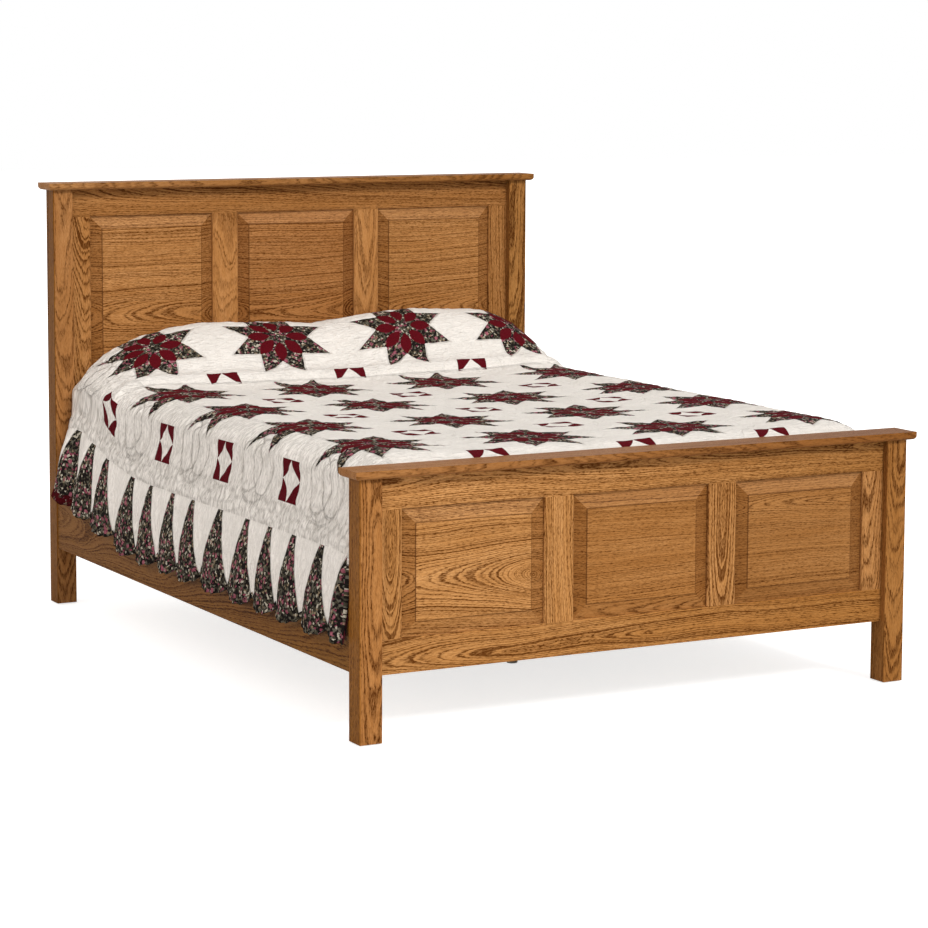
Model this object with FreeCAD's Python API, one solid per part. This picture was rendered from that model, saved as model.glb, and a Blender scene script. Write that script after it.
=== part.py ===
import FreeCAD, Part
import math
import os

# Queen panel bed: oak headboard and footboard with three raised panels each, side rails on hook
# plates, slats on three legs with levelling feet, box spring, mattress, two pillows and a quilt.
# Millimetres. Origin on the floor under the middle of the bed, +Z up, the footboard towards -Y.
Vec = FreeCAD.Vector

lap = 1.0  # how far a cutting or joined shape runs past the face it starts from
same = 0.01  # points nearer than this are the same

# bedding, which sets the inside of the frame
mattress_width = 1512.0
mattress_length = 2020.0
mattress_thick = 240.0
mattress_below_foot = 0.5  # from the footboard's top down to the mattress's top
end_room = 22.0  # from the mattress to the posts, at each end
side_room = 53.6  # from the mattress to the side rails

# posts and caps
post_size = 63.5
post_round = 2.5
head_height = 1318.0
foot_height = 698.5
cap_thick = 22.0
cap_overhang = 19.0
cap_round = 11.0
glide_size = 28.0
glide_thick = 3.0
glide_edge = 1.5

# framed panels
frame_thick = 22.0
top_rail_height = 85.0
bottom_rail_height = 90.0
head_rail_bottom = 420.0
foot_rail_bottom = 172.0
side_stile_width = 66.5
mid_stile_width = 89.0
bead_quirk = 1.0
bead_land = 1.5
bead_radius = 5.0
groove_depth = 10.0
groove_wide = 6.4
groove_front = 9.8  # from the frame's front to the groove
tenon_thick = 10.0
tenon_long = 30.0
tenon_shoulder = 10.0
joint_gap = 0.15

# raised panels
tongue_thick = 6.0
tongue_reach = 8.0
field_back = 1.5  # from the frame's front to the raised field
field_step = 1.6
bevel_width = 38.0
bevel_gap = 0.2  # from the bevel's outer edge to the frame
field_inset = 1.0  # from the bevel to the raised field

# side rails and what they carry
rail_thick = 25.4
rail_height = 165.0
rail_bottom = 178.0
rail_inset = 3.0
rail_round = 2.0
cleat_height = 32.0
cleat_thick = 25.0
cleat_end_room = 70.0
slat_thick = 19.0
slat_width = 89.0
slat_end_room = 4.0
slat_count = 5
slat_end_inset = 250.0  # from the mattress's end to the middle of the first slat

# legs under the middle slats
leg_size = 44.0
leg_count = 3
leg_gap = 25.0  # from the floor to the leg
foot_base_size = 32.0
foot_base_thick = 8.0
foot_stem_size = 8.0
foot_stem_length = 42.0
foot_travel = 10.0
foot_base_edge = 1.5
foot_base_rim = 4.8  # the height of the base's straight side
foot_base_neck = 3.0  # how much wider than the stem the base's top is, all round
foot_stem_edge = 1.0
foot_gap = 0.3
foot_bore_room = 0.4  # round the insert's thread
foot_bore_end = 2.0  # above the stem when it is wound in
insert_outer = 11.0
insert_long = 12.0
insert_flange = 20.0
insert_flange_thick = 1.5

# hook plates that join the side rails to the posts
plate_thick = 2.5
plate_height = 120.0
post_plate_width = 18.0
rail_plate_long = 45.0
hook_count = 2
hook_pitch = 62.0
hook_height = 24.0
hook_reach = 13.0
hook_lip = 7.0
hook_gap = 0.5
hook_pocket_room = 3.0  # behind the hooks, in the post
plate_lift = 22.0  # from the rail's bottom to the plates

# screws and dowels
screw_shank = 4.0
screw_head = 8.0
screw_head_high = 3.0
screw_gap = 0.1
cleat_screw_long = 38.0
slat_screw_long = 35.0
plate_screw_long = 20.0
leg_screw_long = 60.0
cleat_screw_count = 6
dowel_size = 9.5
dowel_long = 32.0
dowel_gap = 0.1
cap_dowel_count = 4
cap_dowel_in_cap = 13.2  # how much of a dowel is in the cap
cleat_screw_inset = 50.0  # from the cleat's end to its first screw
plate_screw_inset = 8.0

# soft pieces
soft_gap = 0.3
mattress_corner = 90.0
mattress_edge = 60.0
mattress_base_edge = 12.0
box_corner = 60.0
box_edge = 10.0
pillow_end_room = 25.0
quilt_thick = 10.0
quilt_post_room = 3.5
quilt_edge_inset = 41.0  # from the mattress's side in to where the top starts to turn down
quilt_shoulder_out = 37.0  # from the mattress's side out to the drop's shoulder
quilt_shoulder_drop = 105.0
quilt_rail_out = 11.0  # beyond the posts' outer faces, beside the rail
quilt_rail_above = 29.0  # from the side rail's top up to there
quilt_hem_out = 21.0
quilt_hem_above = 48.0  # from the side rail's bottom to the hem, at the foot end
quilt_hem_rise = 90.0  # how much higher the hem hangs at the head end
quilt_hem_rise_length = 728.5
quilt_fold = 7.0
quilt_fold_count = 13
quilt_fold_share = 0.4  # how deep a fold is beside the rail, to its depth at the hem
quilt_crown = 4.0
quilt_hump = 172.0
quilt_hump_length = 418.5
quilt_hump_top_inset = 88.5
quilt_hump_back = 55.0
quilt_hump_dip = 22.0
quilt_hump_narrows = 65.0
quilt_hump_edge_drop = 25.0
quilt_bend_ratio = 0.17
quilt_least_drop = 45.0
quilt_tuck_length = 318.0  # below the mattress's top
quilt_tuck_front = 7.0  # how far below the turn's upper face the tuck starts, in front
quilt_tuck_back = 9.0
quilt_turn_steps = 4
pillow_gap = 45.0  # between the two pillows
pillow_deep = 338.5
pillow_high = 152.0
pillow_lip = 12.0
pillow_swell = 6.0
pillow_swell_power = 0.45
pillow_drawn_in = 35.0
pillow_side_room = 62.0
pillow_shoulder_share = 0.14  # how far along the pillow its ends have filled out
pillow_end_share = 0.06
pillow_brow_share = 0.7  # where the slope ends, from front to back
pillow_brow_height_share = 0.93
pillow_nape_height_share = 0.76

# places that follow from the sizes above
bed_width = mattress_width + 2 * (side_room + rail_thick + rail_inset)
bed_length = mattress_length + 2 * end_room + 2 * post_size
half_width = bed_width / 2
half_length = bed_length / 2
frame_setback = (post_size - frame_thick) / 2
inner_half = half_width - post_size
opening_width = (2 * inner_half - 2 * side_stile_width - 2 * mid_stile_width) / 3
rail_outer_x = half_width - rail_inset
rail_inner_x = rail_outer_x - rail_thick
rail_end_y = half_length - post_size
slat_bottom = rail_bottom + cleat_height
slat_top = slat_bottom + slat_thick
slat_pitch = (mattress_length - 2 * slat_end_inset) / (slat_count - 1)
mattress_top = foot_height - mattress_below_foot
box_top = mattress_top - mattress_thick
quilt_edge_x = mattress_width / 2 - quilt_edge_inset
quilt_foot_y = -rail_end_y + quilt_post_room
quilt_head_y = rail_end_y - quilt_post_room
quilt_hump_start = quilt_head_y - quilt_hump_length
quilt_hump_top = quilt_head_y - quilt_hump_top_inset


def box(x0, x1, y0, y1, z0, z1):
    return Part.makeBox(x1 - x0, y1 - y0, z1 - z0, Vec(x0, y0, z0))


def group(shapes):
    return shapes[0] if len(shapes) == 1 else Part.makeCompound(shapes)


def save(name, shape):
    os.makedirs("parts", exist_ok=True)
    shape.exportStep("parts/" + name + ".step")
    solids = shape.Solids
    print(name, len(solids), "solids", round(shape.Volume / 1000), "cm3", shape.isValid())


def edges_where(shape, test):
    return [e for e in shape.Edges if test(e)]


def upright(edge):
    ends = [v.Point for v in edge.Vertexes]
    return len(ends) == 2 and abs(ends[0].x - ends[1].x) < same and abs(ends[0].y - ends[1].y) < same


def level_at(edge, z):
    return all(abs(v.Point.z - z) < same for v in edge.Vertexes)


def turned(profile, start=Vec(0, 0, 0), direction=Vec(0, 0, 1)):
    """A solid turned from (radius, height) points, standing on start along direction."""
    wire = Part.makePolygon([Vec(r, 0, h) for r, h in profile + profile[:1]])
    solid = Part.Face(wire).revolve(Vec(0, 0, 0), Vec(0, 0, 1), 360)
    solid.Placement = FreeCAD.Placement(start, FreeCAD.Rotation(Vec(0, 0, 1), direction))
    return solid


def screw(long, start, direction, gap=0.0):
    """A countersunk wood screw whose head is flush at start and whose point lies along direction."""
    shank = screw_shank / 2 + gap
    head = screw_head / 2 + gap
    end = long + gap
    profile = [
        (0, 0),
        (head, 0),
        (shank, screw_head_high),
        (shank, end - 2 * shank),
        (0, end),
    ]
    return turned(profile, start, direction)


def dowel(start, direction, gap=0.0):
    half = dowel_long / 2 + gap
    radius = dowel_size / 2 + gap
    profile = [(0, -half), (radius, -half), (radius, half), (0, half)]
    return turned(profile, start, direction)


# headboard and footboard


def opening_edges():
    """The left edge of each of the three openings."""
    first = -inner_half + side_stile_width
    return [first + i * (opening_width + mid_stile_width) for i in range(3)]


def framed_plate(front, low, high, z0, z1):
    """The joined rails and stiles as one plate, with the moulded edge round each opening."""
    plate = box(-inner_half, inner_half, front, front + frame_thick, low, high)
    quirk = bead_radius + bead_land
    for x in opening_edges():
        plate = plate.cut(box(x, x + opening_width, front - lap, front + frame_thick + lap, z0, z1))
        wide = box(
            x - quirk, x + opening_width + quirk, front - lap, front + bead_quirk, z0 - quirk, z1 + quirk
        )
        plate = plate.cut(wide)

    def on_bead(edge):
        ends = [v.Point for v in edge.Vertexes]
        if any(abs(p.y - front - bead_quirk) > same for p in ends):
            return False
        for x in opening_edges():
            inside_x = all(x - same < p.x < x + opening_width + same for p in ends)
            inside_z = all(z0 - same < p.z < z1 + same for p in ends)
            if inside_x and inside_z:
                return True
        return False

    return plate.makeFillet(bead_radius, edges_where(plate, on_bead))


def groove(front, x0, x1, z0, z1):
    start = front + groove_front
    return box(x0, x1, start, start + groove_wide, z0, z1)


def rail_tenon(front, side, z0, z1, gap=0.0):
    """The tenon of a frame rail in its post; side is -1 at the left and 1 at the right."""
    middle = front + frame_thick / 2
    inner = side * (inner_half - gap)
    outer = side * (inner_half + tenon_long + gap)
    return box(
        min(inner, outer),
        max(inner, outer),
        middle - tenon_thick / 2 - gap,
        middle + tenon_thick / 2 + gap,
        z0 + tenon_shoulder - gap,
        z1 - tenon_shoulder + gap,
    )


def raised_panel(front, x, z0, z1):
    """A panel whose tongue runs in the grooves, with a bevel and a raised field in front."""
    back = front + groove_front + (groove_wide + tongue_thick) / 2
    tongue_front = back - tongue_thick
    bevel_front = front + field_back + field_step
    reach = tongue_reach
    slab = box(x - reach, x + opening_width + reach, tongue_front, back, z0 - reach, z1 + reach)

    def ring(inset, y):
        left, right = x + inset, x + opening_width - inset
        low, high = z0 + inset, z1 - inset
        points = [Vec(left, y, low), Vec(right, y, low), Vec(right, y, high), Vec(left, y, high)]
        return Part.makePolygon(points + points[:1])

    rings = [ring(bevel_gap, tongue_front + lap), ring(bevel_width, bevel_front)]
    bevel = Part.makeLoft(rings, True, True)
    inset = bevel_width + field_inset
    left, right = x + inset, x + opening_width - inset
    field = box(left, right, front + field_back, tongue_front + lap, z0 + inset, z1 - inset)
    return slab.fuse(bevel).fuse(field).removeSplitter()


def cap_and_dowels(name, front, height):
    """The cap over the posts and the top rail, and the dowels that hold it."""
    post_front = front - frame_setback
    under = height - cap_thick
    cap = box(
        -half_width - cap_overhang,
        half_width + cap_overhang,
        post_front - cap_overhang,
        post_front + post_size + cap_overhang,
        under,
        height,
    )
    cap = cap.makeFillet(cap_round, edges_where(cap, lambda e: level_at(e, under)))
    middle = front + frame_thick / 2
    spread = 2 * inner_half / cap_dowel_count
    places = [-inner_half + spread * (i + 0.5) for i in range(cap_dowel_count)]
    places = [-half_width + post_size / 2] + places + [half_width - post_size / 2]
    dowel_middle = under + cap_dowel_in_cap - dowel_long / 2
    centres = [Vec(x, middle, dowel_middle) for x in places]
    holes = [dowel(c, Vec(0, 0, 1), dowel_gap) for c in centres]
    dowels = [dowel(c, Vec(0, 0, 1)) for c in centres]
    save(name + "_cap", cap.cut(group(holes)))
    save(name + "_cap_dowels", group(dowels))
    return holes


def panel_end(name, front, rail_low, height, rail_side):
    """A headboard or footboard; rail_side is the Y direction in which the side rails leave it."""
    under = height - cap_thick
    z0 = rail_low + bottom_rail_height
    z1 = under - top_rail_height
    post_front = front - frame_setback
    holes = cap_and_dowels(name, front, height)
    plate = framed_plate(front, rail_low, under, z0, z1)

    bottom = plate.common(box(-inner_half, inner_half, front - lap, front + frame_thick + lap, rail_low, z0))
    top = plate.common(box(-inner_half, inner_half, front - lap, front + frame_thick + lap, z1, under))
    bottom = bottom.cut(groove(front, -inner_half, inner_half, z0 - groove_depth, z0 + lap))
    top = top.cut(groove(front, -inner_half, inner_half, z1 - lap, z1 + groove_depth))
    for side in (-1, 1):
        bottom = bottom.fuse(rail_tenon(front, side, rail_low, z0))
        top = top.fuse(rail_tenon(front, side, z1, under))
    save(name + "_bottom_rail", bottom.removeSplitter())
    save(name + "_top_rail", top.removeSplitter().cut(group(holes)))

    widths = [side_stile_width, mid_stile_width, mid_stile_width, side_stile_width]
    names = ["_left_stile", "_left_middle_stile", "_right_middle_stile", "_right_stile"]
    x = -inner_half
    for i, width in enumerate(widths):
        stile = plate.common(box(x, x + width, front - lap, front + frame_thick + lap, z0, z1))
        if i > 0:
            stile = stile.cut(groove(front, x - lap, x + groove_depth, z0, z1))
        if i < 3:
            stile = stile.cut(groove(front, x + width - groove_depth, x + width + lap, z0, z1))
        tongue = groove_depth - joint_gap
        low_y = front + groove_front + joint_gap
        high_y = front + groove_front + groove_wide - joint_gap
        inset = groove_depth + joint_gap
        for low, high in ((z0 - tongue, z0), (z1, z1 + tongue)):
            stile = stile.fuse(box(x + inset, x + width - inset, low_y, high_y, low, high))
        save(name + names[i], stile.removeSplitter())
        x += width + opening_width

    for side_name, left in zip(("_left_panel", "_middle_panel", "_right_panel"), opening_edges()):
        save(name + side_name, raised_panel(front, left, z0, z1))

    rail_face = post_front if rail_side < 0 else post_front + post_size
    for side_name, side in (("_left_post", -1), ("_right_post", 1)):
        outer = side * half_width
        inner = side * inner_half
        post = box(
            min(outer, inner), max(outer, inner), post_front, post_front + post_size, glide_thick, under
        )
        post = post.makeFillet(post_round, edges_where(post, upright))
        post = post.cut(rail_tenon(front, side, rail_low, z0, joint_gap))
        post = post.cut(rail_tenon(front, side, z1, under, joint_gap))
        post = post.cut(group([holes[0], holes[-1]]))
        post = post.cut(post_plate_room(side, rail_face, rail_side))
        save(name + side_name, post)


# hook plates


def plate_middle_x(side):
    return side * (rail_inner_x + plate_thick / 2)


def plate_low():
    return rail_bottom + plate_lift


def hook_lows():
    first = plate_low() + (plate_height - (hook_count - 1) * hook_pitch - hook_height) / 2
    return [first + i * hook_pitch for i in range(hook_count)]


def along(y, direction, distance):
    return y + direction * distance


def span(a, b):
    return min(a, b), max(a, b)


def plate_screw_lows():
    """The screw heights of a plate, clear of the hooks."""
    low, high = plate_low() + plate_screw_inset, plate_low() + plate_height - plate_screw_inset
    return [low, (low + high) / 2, high]


def post_plate(side, face, direction):
    """The slotted plate let into the post, flush with its face."""
    x = plate_middle_x(side)
    y0, y1 = span(face, along(face, -direction, plate_thick))
    plate = box(
        x - post_plate_width / 2, x + post_plate_width / 2, y0, y1, plate_low(), plate_low() + plate_height
    )
    for low in hook_lows():
        half = plate_thick / 2 + hook_gap
        z0, z1 = low - hook_lip - hook_gap, low + hook_height + hook_gap
        slot = box(x - half, x + half, y0 - lap, y1 + lap, z0, z1)
        plate = plate.cut(slot)
    for z in plate_screw_lows():
        plate = plate.cut(screw(plate_screw_long, Vec(x, face, z), Vec(0, -direction, 0), screw_gap))
    return plate


def post_plate_room(side, face, direction):
    """What is cut from a post for its plate, the hooks and the plate's screws."""
    x = plate_middle_x(side)
    y0, y1 = span(face, along(face, -direction, plate_thick))
    room = box(
        x - post_plate_width / 2, x + post_plate_width / 2, y0, y1, plate_low(), plate_low() + plate_height
    )
    deep0, deep1 = span(face, along(face, -direction, hook_reach + hook_pocket_room))
    for low in hook_lows():
        half = plate_thick / 2 + hook_gap
        pocket = box(
            x - half, x + half, deep0, deep1, low - hook_lip - hook_gap, low + hook_height + hook_gap
        )
        room = room.fuse(pocket)
    for z in plate_screw_lows():
        room = room.fuse(screw(plate_screw_long, Vec(x, face, z), Vec(0, -direction, 0), screw_gap))
    return room


def rail_plate(side, end):
    """The plate let into the rail's inner face, with hooks that reach into the post."""
    direction = 1 if end > 0 else -1
    x0, x1 = span(side * rail_inner_x, side * (rail_inner_x + plate_thick))
    y0, y1 = span(end, along(end, -direction, rail_plate_long))
    plate = box(x0, x1, y0, y1, plate_low(), plate_low() + plate_height)
    neck = plate_thick + hook_gap
    for low in hook_lows():
        a0, a1 = span(end, along(end, direction, hook_reach))
        hook = box(x0, x1, a0, a1, low, low + hook_height)
        b0, b1 = span(along(end, direction, neck), along(end, direction, hook_reach))
        hook = hook.fuse(box(x0, x1, b0, b1, low - hook_lip, low))
        plate = plate.fuse(hook)
    plate = plate.removeSplitter()
    for z in plate_screw_lows():
        plate = plate.cut(rail_plate_screw(side, end, z, screw_gap))
    return plate


def rail_plate_screw(side, end, z, gap=0.0):
    direction = 1 if end > 0 else -1
    middle = along(end, -direction, rail_plate_long / 2)
    start = Vec(side * rail_inner_x, middle, z)
    return screw(plate_screw_long, start, Vec(side, 0, 0), gap)


# side rails, cleats, slats and legs


def slat_places():
    return [(i - (slat_count - 1) / 2) * slat_pitch for i in range(slat_count)]


def leg_places():
    return [(i - (leg_count - 1) / 2) * slat_pitch for i in range(leg_count)]


def cleat_screw_places(side):
    reach = rail_end_y - cleat_end_room - cleat_screw_inset
    step = 2 * reach / (cleat_screw_count - 1)
    x = side * (rail_inner_x - cleat_thick)
    z = rail_bottom + cleat_height / 2
    return [Vec(x, -reach + i * step, z) for i in range(cleat_screw_count)]


def slat_screw_places(side):
    x = side * (rail_inner_x - cleat_thick / 2)
    return [Vec(x, y, slat_top) for y in slat_places()]


def side_rail(side):
    x0, x1 = span(side * rail_inner_x, side * rail_outer_x)
    rail = box(x0, x1, -rail_end_y, rail_end_y, rail_bottom, rail_bottom + rail_height)

    def long_outer(edge):
        ends = [v.Point for v in edge.Vertexes]
        far = all(abs(p.x - side * rail_outer_x) < same for p in ends)
        return far and abs(ends[0].y - ends[-1].y) > rail_end_y

    rail = rail.makeFillet(rail_round, edges_where(rail, long_outer))
    for end in (-rail_end_y, rail_end_y):
        direction = 1 if end > 0 else -1
        a0, a1 = span(side * rail_inner_x, side * (rail_inner_x + plate_thick))
        y0, y1 = span(end, along(end, -direction, rail_plate_long))
        rail = rail.cut(box(a0, a1, y0, y1, plate_low(), plate_low() + plate_height))
        for z in plate_screw_lows():
            rail = rail.cut(rail_plate_screw(side, end, z, screw_gap))
    for place in cleat_screw_places(side):
        rail = rail.cut(screw(cleat_screw_long, place, Vec(side, 0, 0), screw_gap))
    return rail


def cleat(side):
    reach = rail_end_y - cleat_end_room
    x0, x1 = span(side * (rail_inner_x - cleat_thick), side * rail_inner_x)
    strip = box(x0, x1, -reach, reach, rail_bottom, slat_bottom)
    for place in cleat_screw_places(side):
        strip = strip.cut(screw(cleat_screw_long, place, Vec(side, 0, 0), screw_gap))
    for place in slat_screw_places(side):
        strip = strip.cut(screw(slat_screw_long, place, Vec(0, 0, -1), screw_gap))
    return strip


def slat(y):
    reach = rail_inner_x - slat_end_room
    board = box(-reach, reach, y - slat_width / 2, y + slat_width / 2, slat_bottom, slat_top)
    board = board.makeFillet(rail_round, edges_where(board, lambda e: e.Length > reach))
    for side in (-1, 1):
        for place in slat_screw_places(side):
            if abs(place.y - y) < slat_width / 2:
                board = board.cut(screw(slat_screw_long, place, Vec(0, 0, -1), screw_gap))
    if any(abs(leg_y - y) < 1 for leg_y in leg_places()):
        board = board.cut(screw(leg_screw_long, Vec(0, y, slat_top), Vec(0, 0, -1), screw_gap))
    return board


def leg_bore():
    """The radius and the depth of the bore that the foot's stem runs in."""
    depth = foot_base_thick + foot_stem_length + foot_travel - leg_gap + foot_bore_end
    return foot_stem_size / 2 + foot_gap + foot_bore_room, depth


def support_leg(y):
    half = leg_size / 2
    leg = box(-half, half, y - half, y + half, leg_gap, slat_bottom)
    leg = leg.makeFillet(post_round, edges_where(leg, upright))
    radius, depth = leg_bore()
    leg = leg.cut(Part.makeCylinder(radius, depth, Vec(0, y, leg_gap)))
    leg = leg.cut(Part.makeCylinder(insert_outer / 2, insert_long, Vec(0, y, leg_gap)))
    leg = leg.cut(Part.makeCylinder(insert_flange / 2, insert_flange_thick, Vec(0, y, leg_gap)))
    return leg.cut(screw(leg_screw_long, Vec(0, y, slat_top), Vec(0, 0, -1), screw_gap))


def leg_insert(y):
    """The threaded insert in the leg's end, with a flange let in flush."""
    radius = foot_stem_size / 2 + foot_gap
    profile = [
        (radius, 0),
        (insert_flange / 2, 0),
        (insert_flange / 2, insert_flange_thick),
        (insert_outer / 2, insert_flange_thick),
        (insert_outer / 2, insert_long),
        (radius, insert_long),
    ]
    return turned(profile, Vec(0, y, leg_gap))


def levelling_foot(y):
    base = foot_base_size / 2
    stem = foot_stem_size / 2
    top = foot_base_thick
    profile = [
        (0, 0),
        (base - foot_base_edge, 0),
        (base, foot_base_edge),
        (base, foot_base_rim),
        (stem + foot_base_neck, top),
        (stem, top),
        (stem, top + foot_stem_length - foot_stem_edge),
        (stem - foot_stem_edge, top + foot_stem_length),
        (0, top + foot_stem_length),
    ]
    return turned(profile, Vec(0, y, 0))


def glide(x, y):
    radius = glide_size / 2
    profile = [
        (0, 0),
        (radius - glide_edge, 0),
        (radius, glide_edge),
        (radius, glide_thick),
        (0, glide_thick),
    ]
    return turned(profile, Vec(x, y, 0))


# box spring, mattress, pillows and quilt


def padded_block(z0, thick, corner, top_edge, base_edge):
    half_w, half_l = mattress_width / 2, mattress_length / 2
    block = box(-half_w, half_w, -half_l, half_l, z0, z0 + thick)
    block = block.makeFillet(corner, edges_where(block, upright))
    block = block.makeFillet(top_edge, edges_where(block, lambda e: level_at(e, z0 + thick)))
    return block.makeFillet(base_edge, edges_where(block, lambda e: level_at(e, z0)))


def smooth(t):
    t = min(1.0, max(0.0, t))
    return t * t * (3 - 2 * t)


def quilt_top(y):
    """The height of the quilt's upper face along the bed, over the pillows' crowns."""
    flat = mattress_top + soft_gap + quilt_thick
    turn_centre = -mattress_length / 2 + mattress_edge
    if y < turn_centre:
        share = min(1.0, (turn_centre - y) / (turn_centre - quilt_foot_y))
        drop = mattress_edge + quilt_thick
        return flat - drop * (1 - math.sqrt(1 - share * share))
    rise = smooth((y - quilt_hump_start) / (quilt_hump_top - quilt_hump_start))
    fall = smooth((y - quilt_hump_top) / quilt_hump_top_inset)
    return flat + quilt_hump * rise - quilt_hump_back * fall


def quilt_hem(y):
    rise = smooth(1 - (quilt_head_y - y) / quilt_hem_rise_length)
    return rail_bottom + quilt_hem_above + quilt_hem_rise * rise


def quilt_section(y, fold):
    """The quilt cut across the bed; fold is 1 on a fold's crest, -1 between folds and 0 on neither."""
    thick = quilt_thick
    over = smooth((y - quilt_hump_start) / (quilt_hump_top - quilt_hump_start))
    top = quilt_top(y)
    edge = Vec(quilt_edge_x - quilt_hump_narrows * over, y, top - quilt_hump_edge_drop * over)
    shoulder_z = min(mattress_top + quilt_thick - quilt_shoulder_drop, edge.z - quilt_least_drop)
    shoulder = Vec(mattress_width / 2 + quilt_shoulder_out, y, shoulder_z)
    rail_x = half_width + quilt_rail_out + fold * quilt_fold * quilt_fold_share
    rail = Vec(rail_x, y, rail_bottom + rail_height + quilt_rail_above)
    hem_x = half_width + quilt_hem_out + fold * quilt_fold
    hem = Vec(hem_x, y, quilt_hem(y) - fold * quilt_fold)
    chord = shoulder - edge
    normal = Vec(-chord.z, 0, chord.x).normalize()
    bend = (edge + shoulder) * 0.5 + normal * (quilt_bend_ratio * chord.Length)
    crown = Vec(edge.x * 0.5, y, top + quilt_crown * (1 - over))
    middle = Vec(0, y, top - quilt_hump_dip * over)
    down = Vec(0, 0, -thick)
    inward = Vec(-thick, 0, 0)
    outer = [middle, crown, edge, bend, shoulder, rail, hem]
    inner = [
        middle + down,
        crown + down,
        edge + down,
        bend - normal * thick,
        shoulder + inward,
        rail + inward,
        hem + inward,
    ]

    def other(point):
        return Vec(-point.x, point.y, point.z)

    def half(points):
        middle, crown, edge, bend, shoulder, rail, hem = points
        return [
            Part.Arc(middle, crown, edge).toShape(),
            Part.Arc(edge, bend, shoulder).toShape(),
            Part.LineSegment(shoulder, rail).toShape(),
            Part.LineSegment(rail, hem).toShape(),
        ]

    edges = half(outer)
    edges.append(Part.LineSegment(hem, inner[-1]).toShape())
    edges += reversed(half(inner))
    edges += half([other(p) for p in inner])
    edges.append(Part.LineSegment(other(inner[-1]), other(hem)).toShape())
    edges += reversed(half([other(p) for p in outer]))
    return Part.Wire(Part.__sortEdges__(edges))


def quilt():
    """The top, both side drops with their folds, and the foot end tucked behind the footboard."""
    foot, head = quilt_foot_y, quilt_head_y
    stations = [(foot, 0)]
    turn = -mattress_length / 2 + mattress_edge
    start = foot + quilt_thick
    stations += [(start + (turn - start) * i / quilt_turn_steps, 0) for i in range(quilt_turn_steps)]
    step = (head - turn) / (2 * quilt_fold_count)
    for i in range(2 * quilt_fold_count):
        stations.append((turn + i * step, 1 if i % 2 else -1))
    stations.append((head, 0))
    wires = [quilt_section(y, fold) for y, fold in stations]
    cloth = Part.makeLoft(wires, True, True)
    reach = quilt_edge_x
    top_out = quilt_top(foot) - quilt_tuck_front
    top_in = quilt_top(foot + quilt_thick) - quilt_tuck_back
    low = mattress_top - quilt_tuck_length
    points = [
        Vec(-reach, foot, low),
        Vec(-reach, foot, top_out),
        Vec(-reach, foot + quilt_thick, top_in),
        Vec(-reach, foot + quilt_thick, low),
    ]
    tuck = Part.Face(Part.makePolygon(points + points[:1])).extrude(Vec(2 * reach, 0, 0))
    return cloth.fuse(tuck)


def pillow(side):
    """A pillow with its crown and its drawn-in ends, lofted across the bed through five sections."""
    base = mattress_top + soft_gap
    near = pillow_gap / 2
    far = mattress_width / 2 - pillow_side_room
    back = quilt_head_y - pillow_end_room
    wires = []
    for share in (0.0, pillow_shoulder_share, 0.5, 1 - pillow_shoulder_share, 1.0):
        x = side * (near + share * (far - near))
        inside = min(1 - pillow_end_share, max(pillow_end_share, share))
        swell = math.sin(math.pi * inside) ** pillow_swell_power
        front = back - pillow_deep + pillow_drawn_in * (1 - swell)
        rear = back - pillow_drawn_in * (1 - swell)
        top = base + pillow_high * swell
        lip = base + pillow_lip * swell
        brow_z = base + pillow_brow_height_share * (top - base)
        brow = Vec(x, front + pillow_brow_share * (rear - front), brow_z)
        slope = Vec(x, (front + brow.y) / 2, (lip + brow.z) / 2 + pillow_swell * swell)
        crown = Vec(x, (brow.y + rear) / 2, top)
        nape = Vec(x, rear, base + pillow_nape_height_share * (top - base))
        edges = [
            Part.LineSegment(Vec(x, front, base), Vec(x, front, lip)).toShape(),
            Part.Arc(Vec(x, front, lip), slope, brow).toShape(),
            Part.Arc(brow, crown, nape).toShape(),
            Part.LineSegment(nape, Vec(x, rear, base)).toShape(),
            Part.LineSegment(Vec(x, rear, base), Vec(x, front, base)).toShape(),
        ]
        wires.append(Part.Wire(edges))
    return Part.makeLoft(wires, True, True)


# every piece

foot_front = -half_length + frame_setback
head_front = half_length - post_size + frame_setback
panel_end("foot", foot_front, foot_rail_bottom, foot_height, 1)
panel_end("head", head_front, head_rail_bottom, head_height, -1)

for side_name, side in (("left", -1), ("right", 1)):
    save(side_name + "_side_rail", side_rail(side))
    save(side_name + "_cleat", cleat(side))

corners = [(side, end) for side in (-1, 1) for end in (-rail_end_y, rail_end_y)]
save("rail_hook_plates", group([rail_plate(side, end) for side, end in corners]))
save("post_hook_plates", group([post_plate(side, end, -1 if end > 0 else 1) for side, end in corners]))

plate_screws = []
for side, end in corners:
    outward = 1 if end > 0 else -1
    for z in plate_screw_lows():
        plate_screws.append(rail_plate_screw(side, end, z))
        plate_screws.append(screw(plate_screw_long, Vec(plate_middle_x(side), end, z), Vec(0, outward, 0)))
save("hook_plate_screws", group(plate_screws))

cleat_screws = []
slat_screws = []
for side in (-1, 1):
    for place in cleat_screw_places(side):
        cleat_screws.append(screw(cleat_screw_long, place, Vec(side, 0, 0)))
    for place in slat_screw_places(side):
        slat_screws.append(screw(slat_screw_long, place, Vec(0, 0, -1)))
save("cleat_screws", group(cleat_screws))
save("slat_screws", group(slat_screws))

for i, y in enumerate(slat_places()):
    save("slat_" + str(i + 1), slat(y))

for i, y in enumerate(leg_places()):
    save("support_leg_" + str(i + 1), support_leg(y))
    save("levelling_foot_" + str(i + 1), levelling_foot(y))
save("leg_inserts", group([leg_insert(y) for y in leg_places()]))
leg_screws = [screw(leg_screw_long, Vec(0, y, slat_top), Vec(0, 0, -1)) for y in leg_places()]
save("leg_screws", group(leg_screws))

post_x = half_width - post_size / 2
post_y = half_length - post_size / 2
save("post_glides", group([glide(x, y) for x in (-post_x, post_x) for y in (-post_y, post_y)]))

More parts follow.
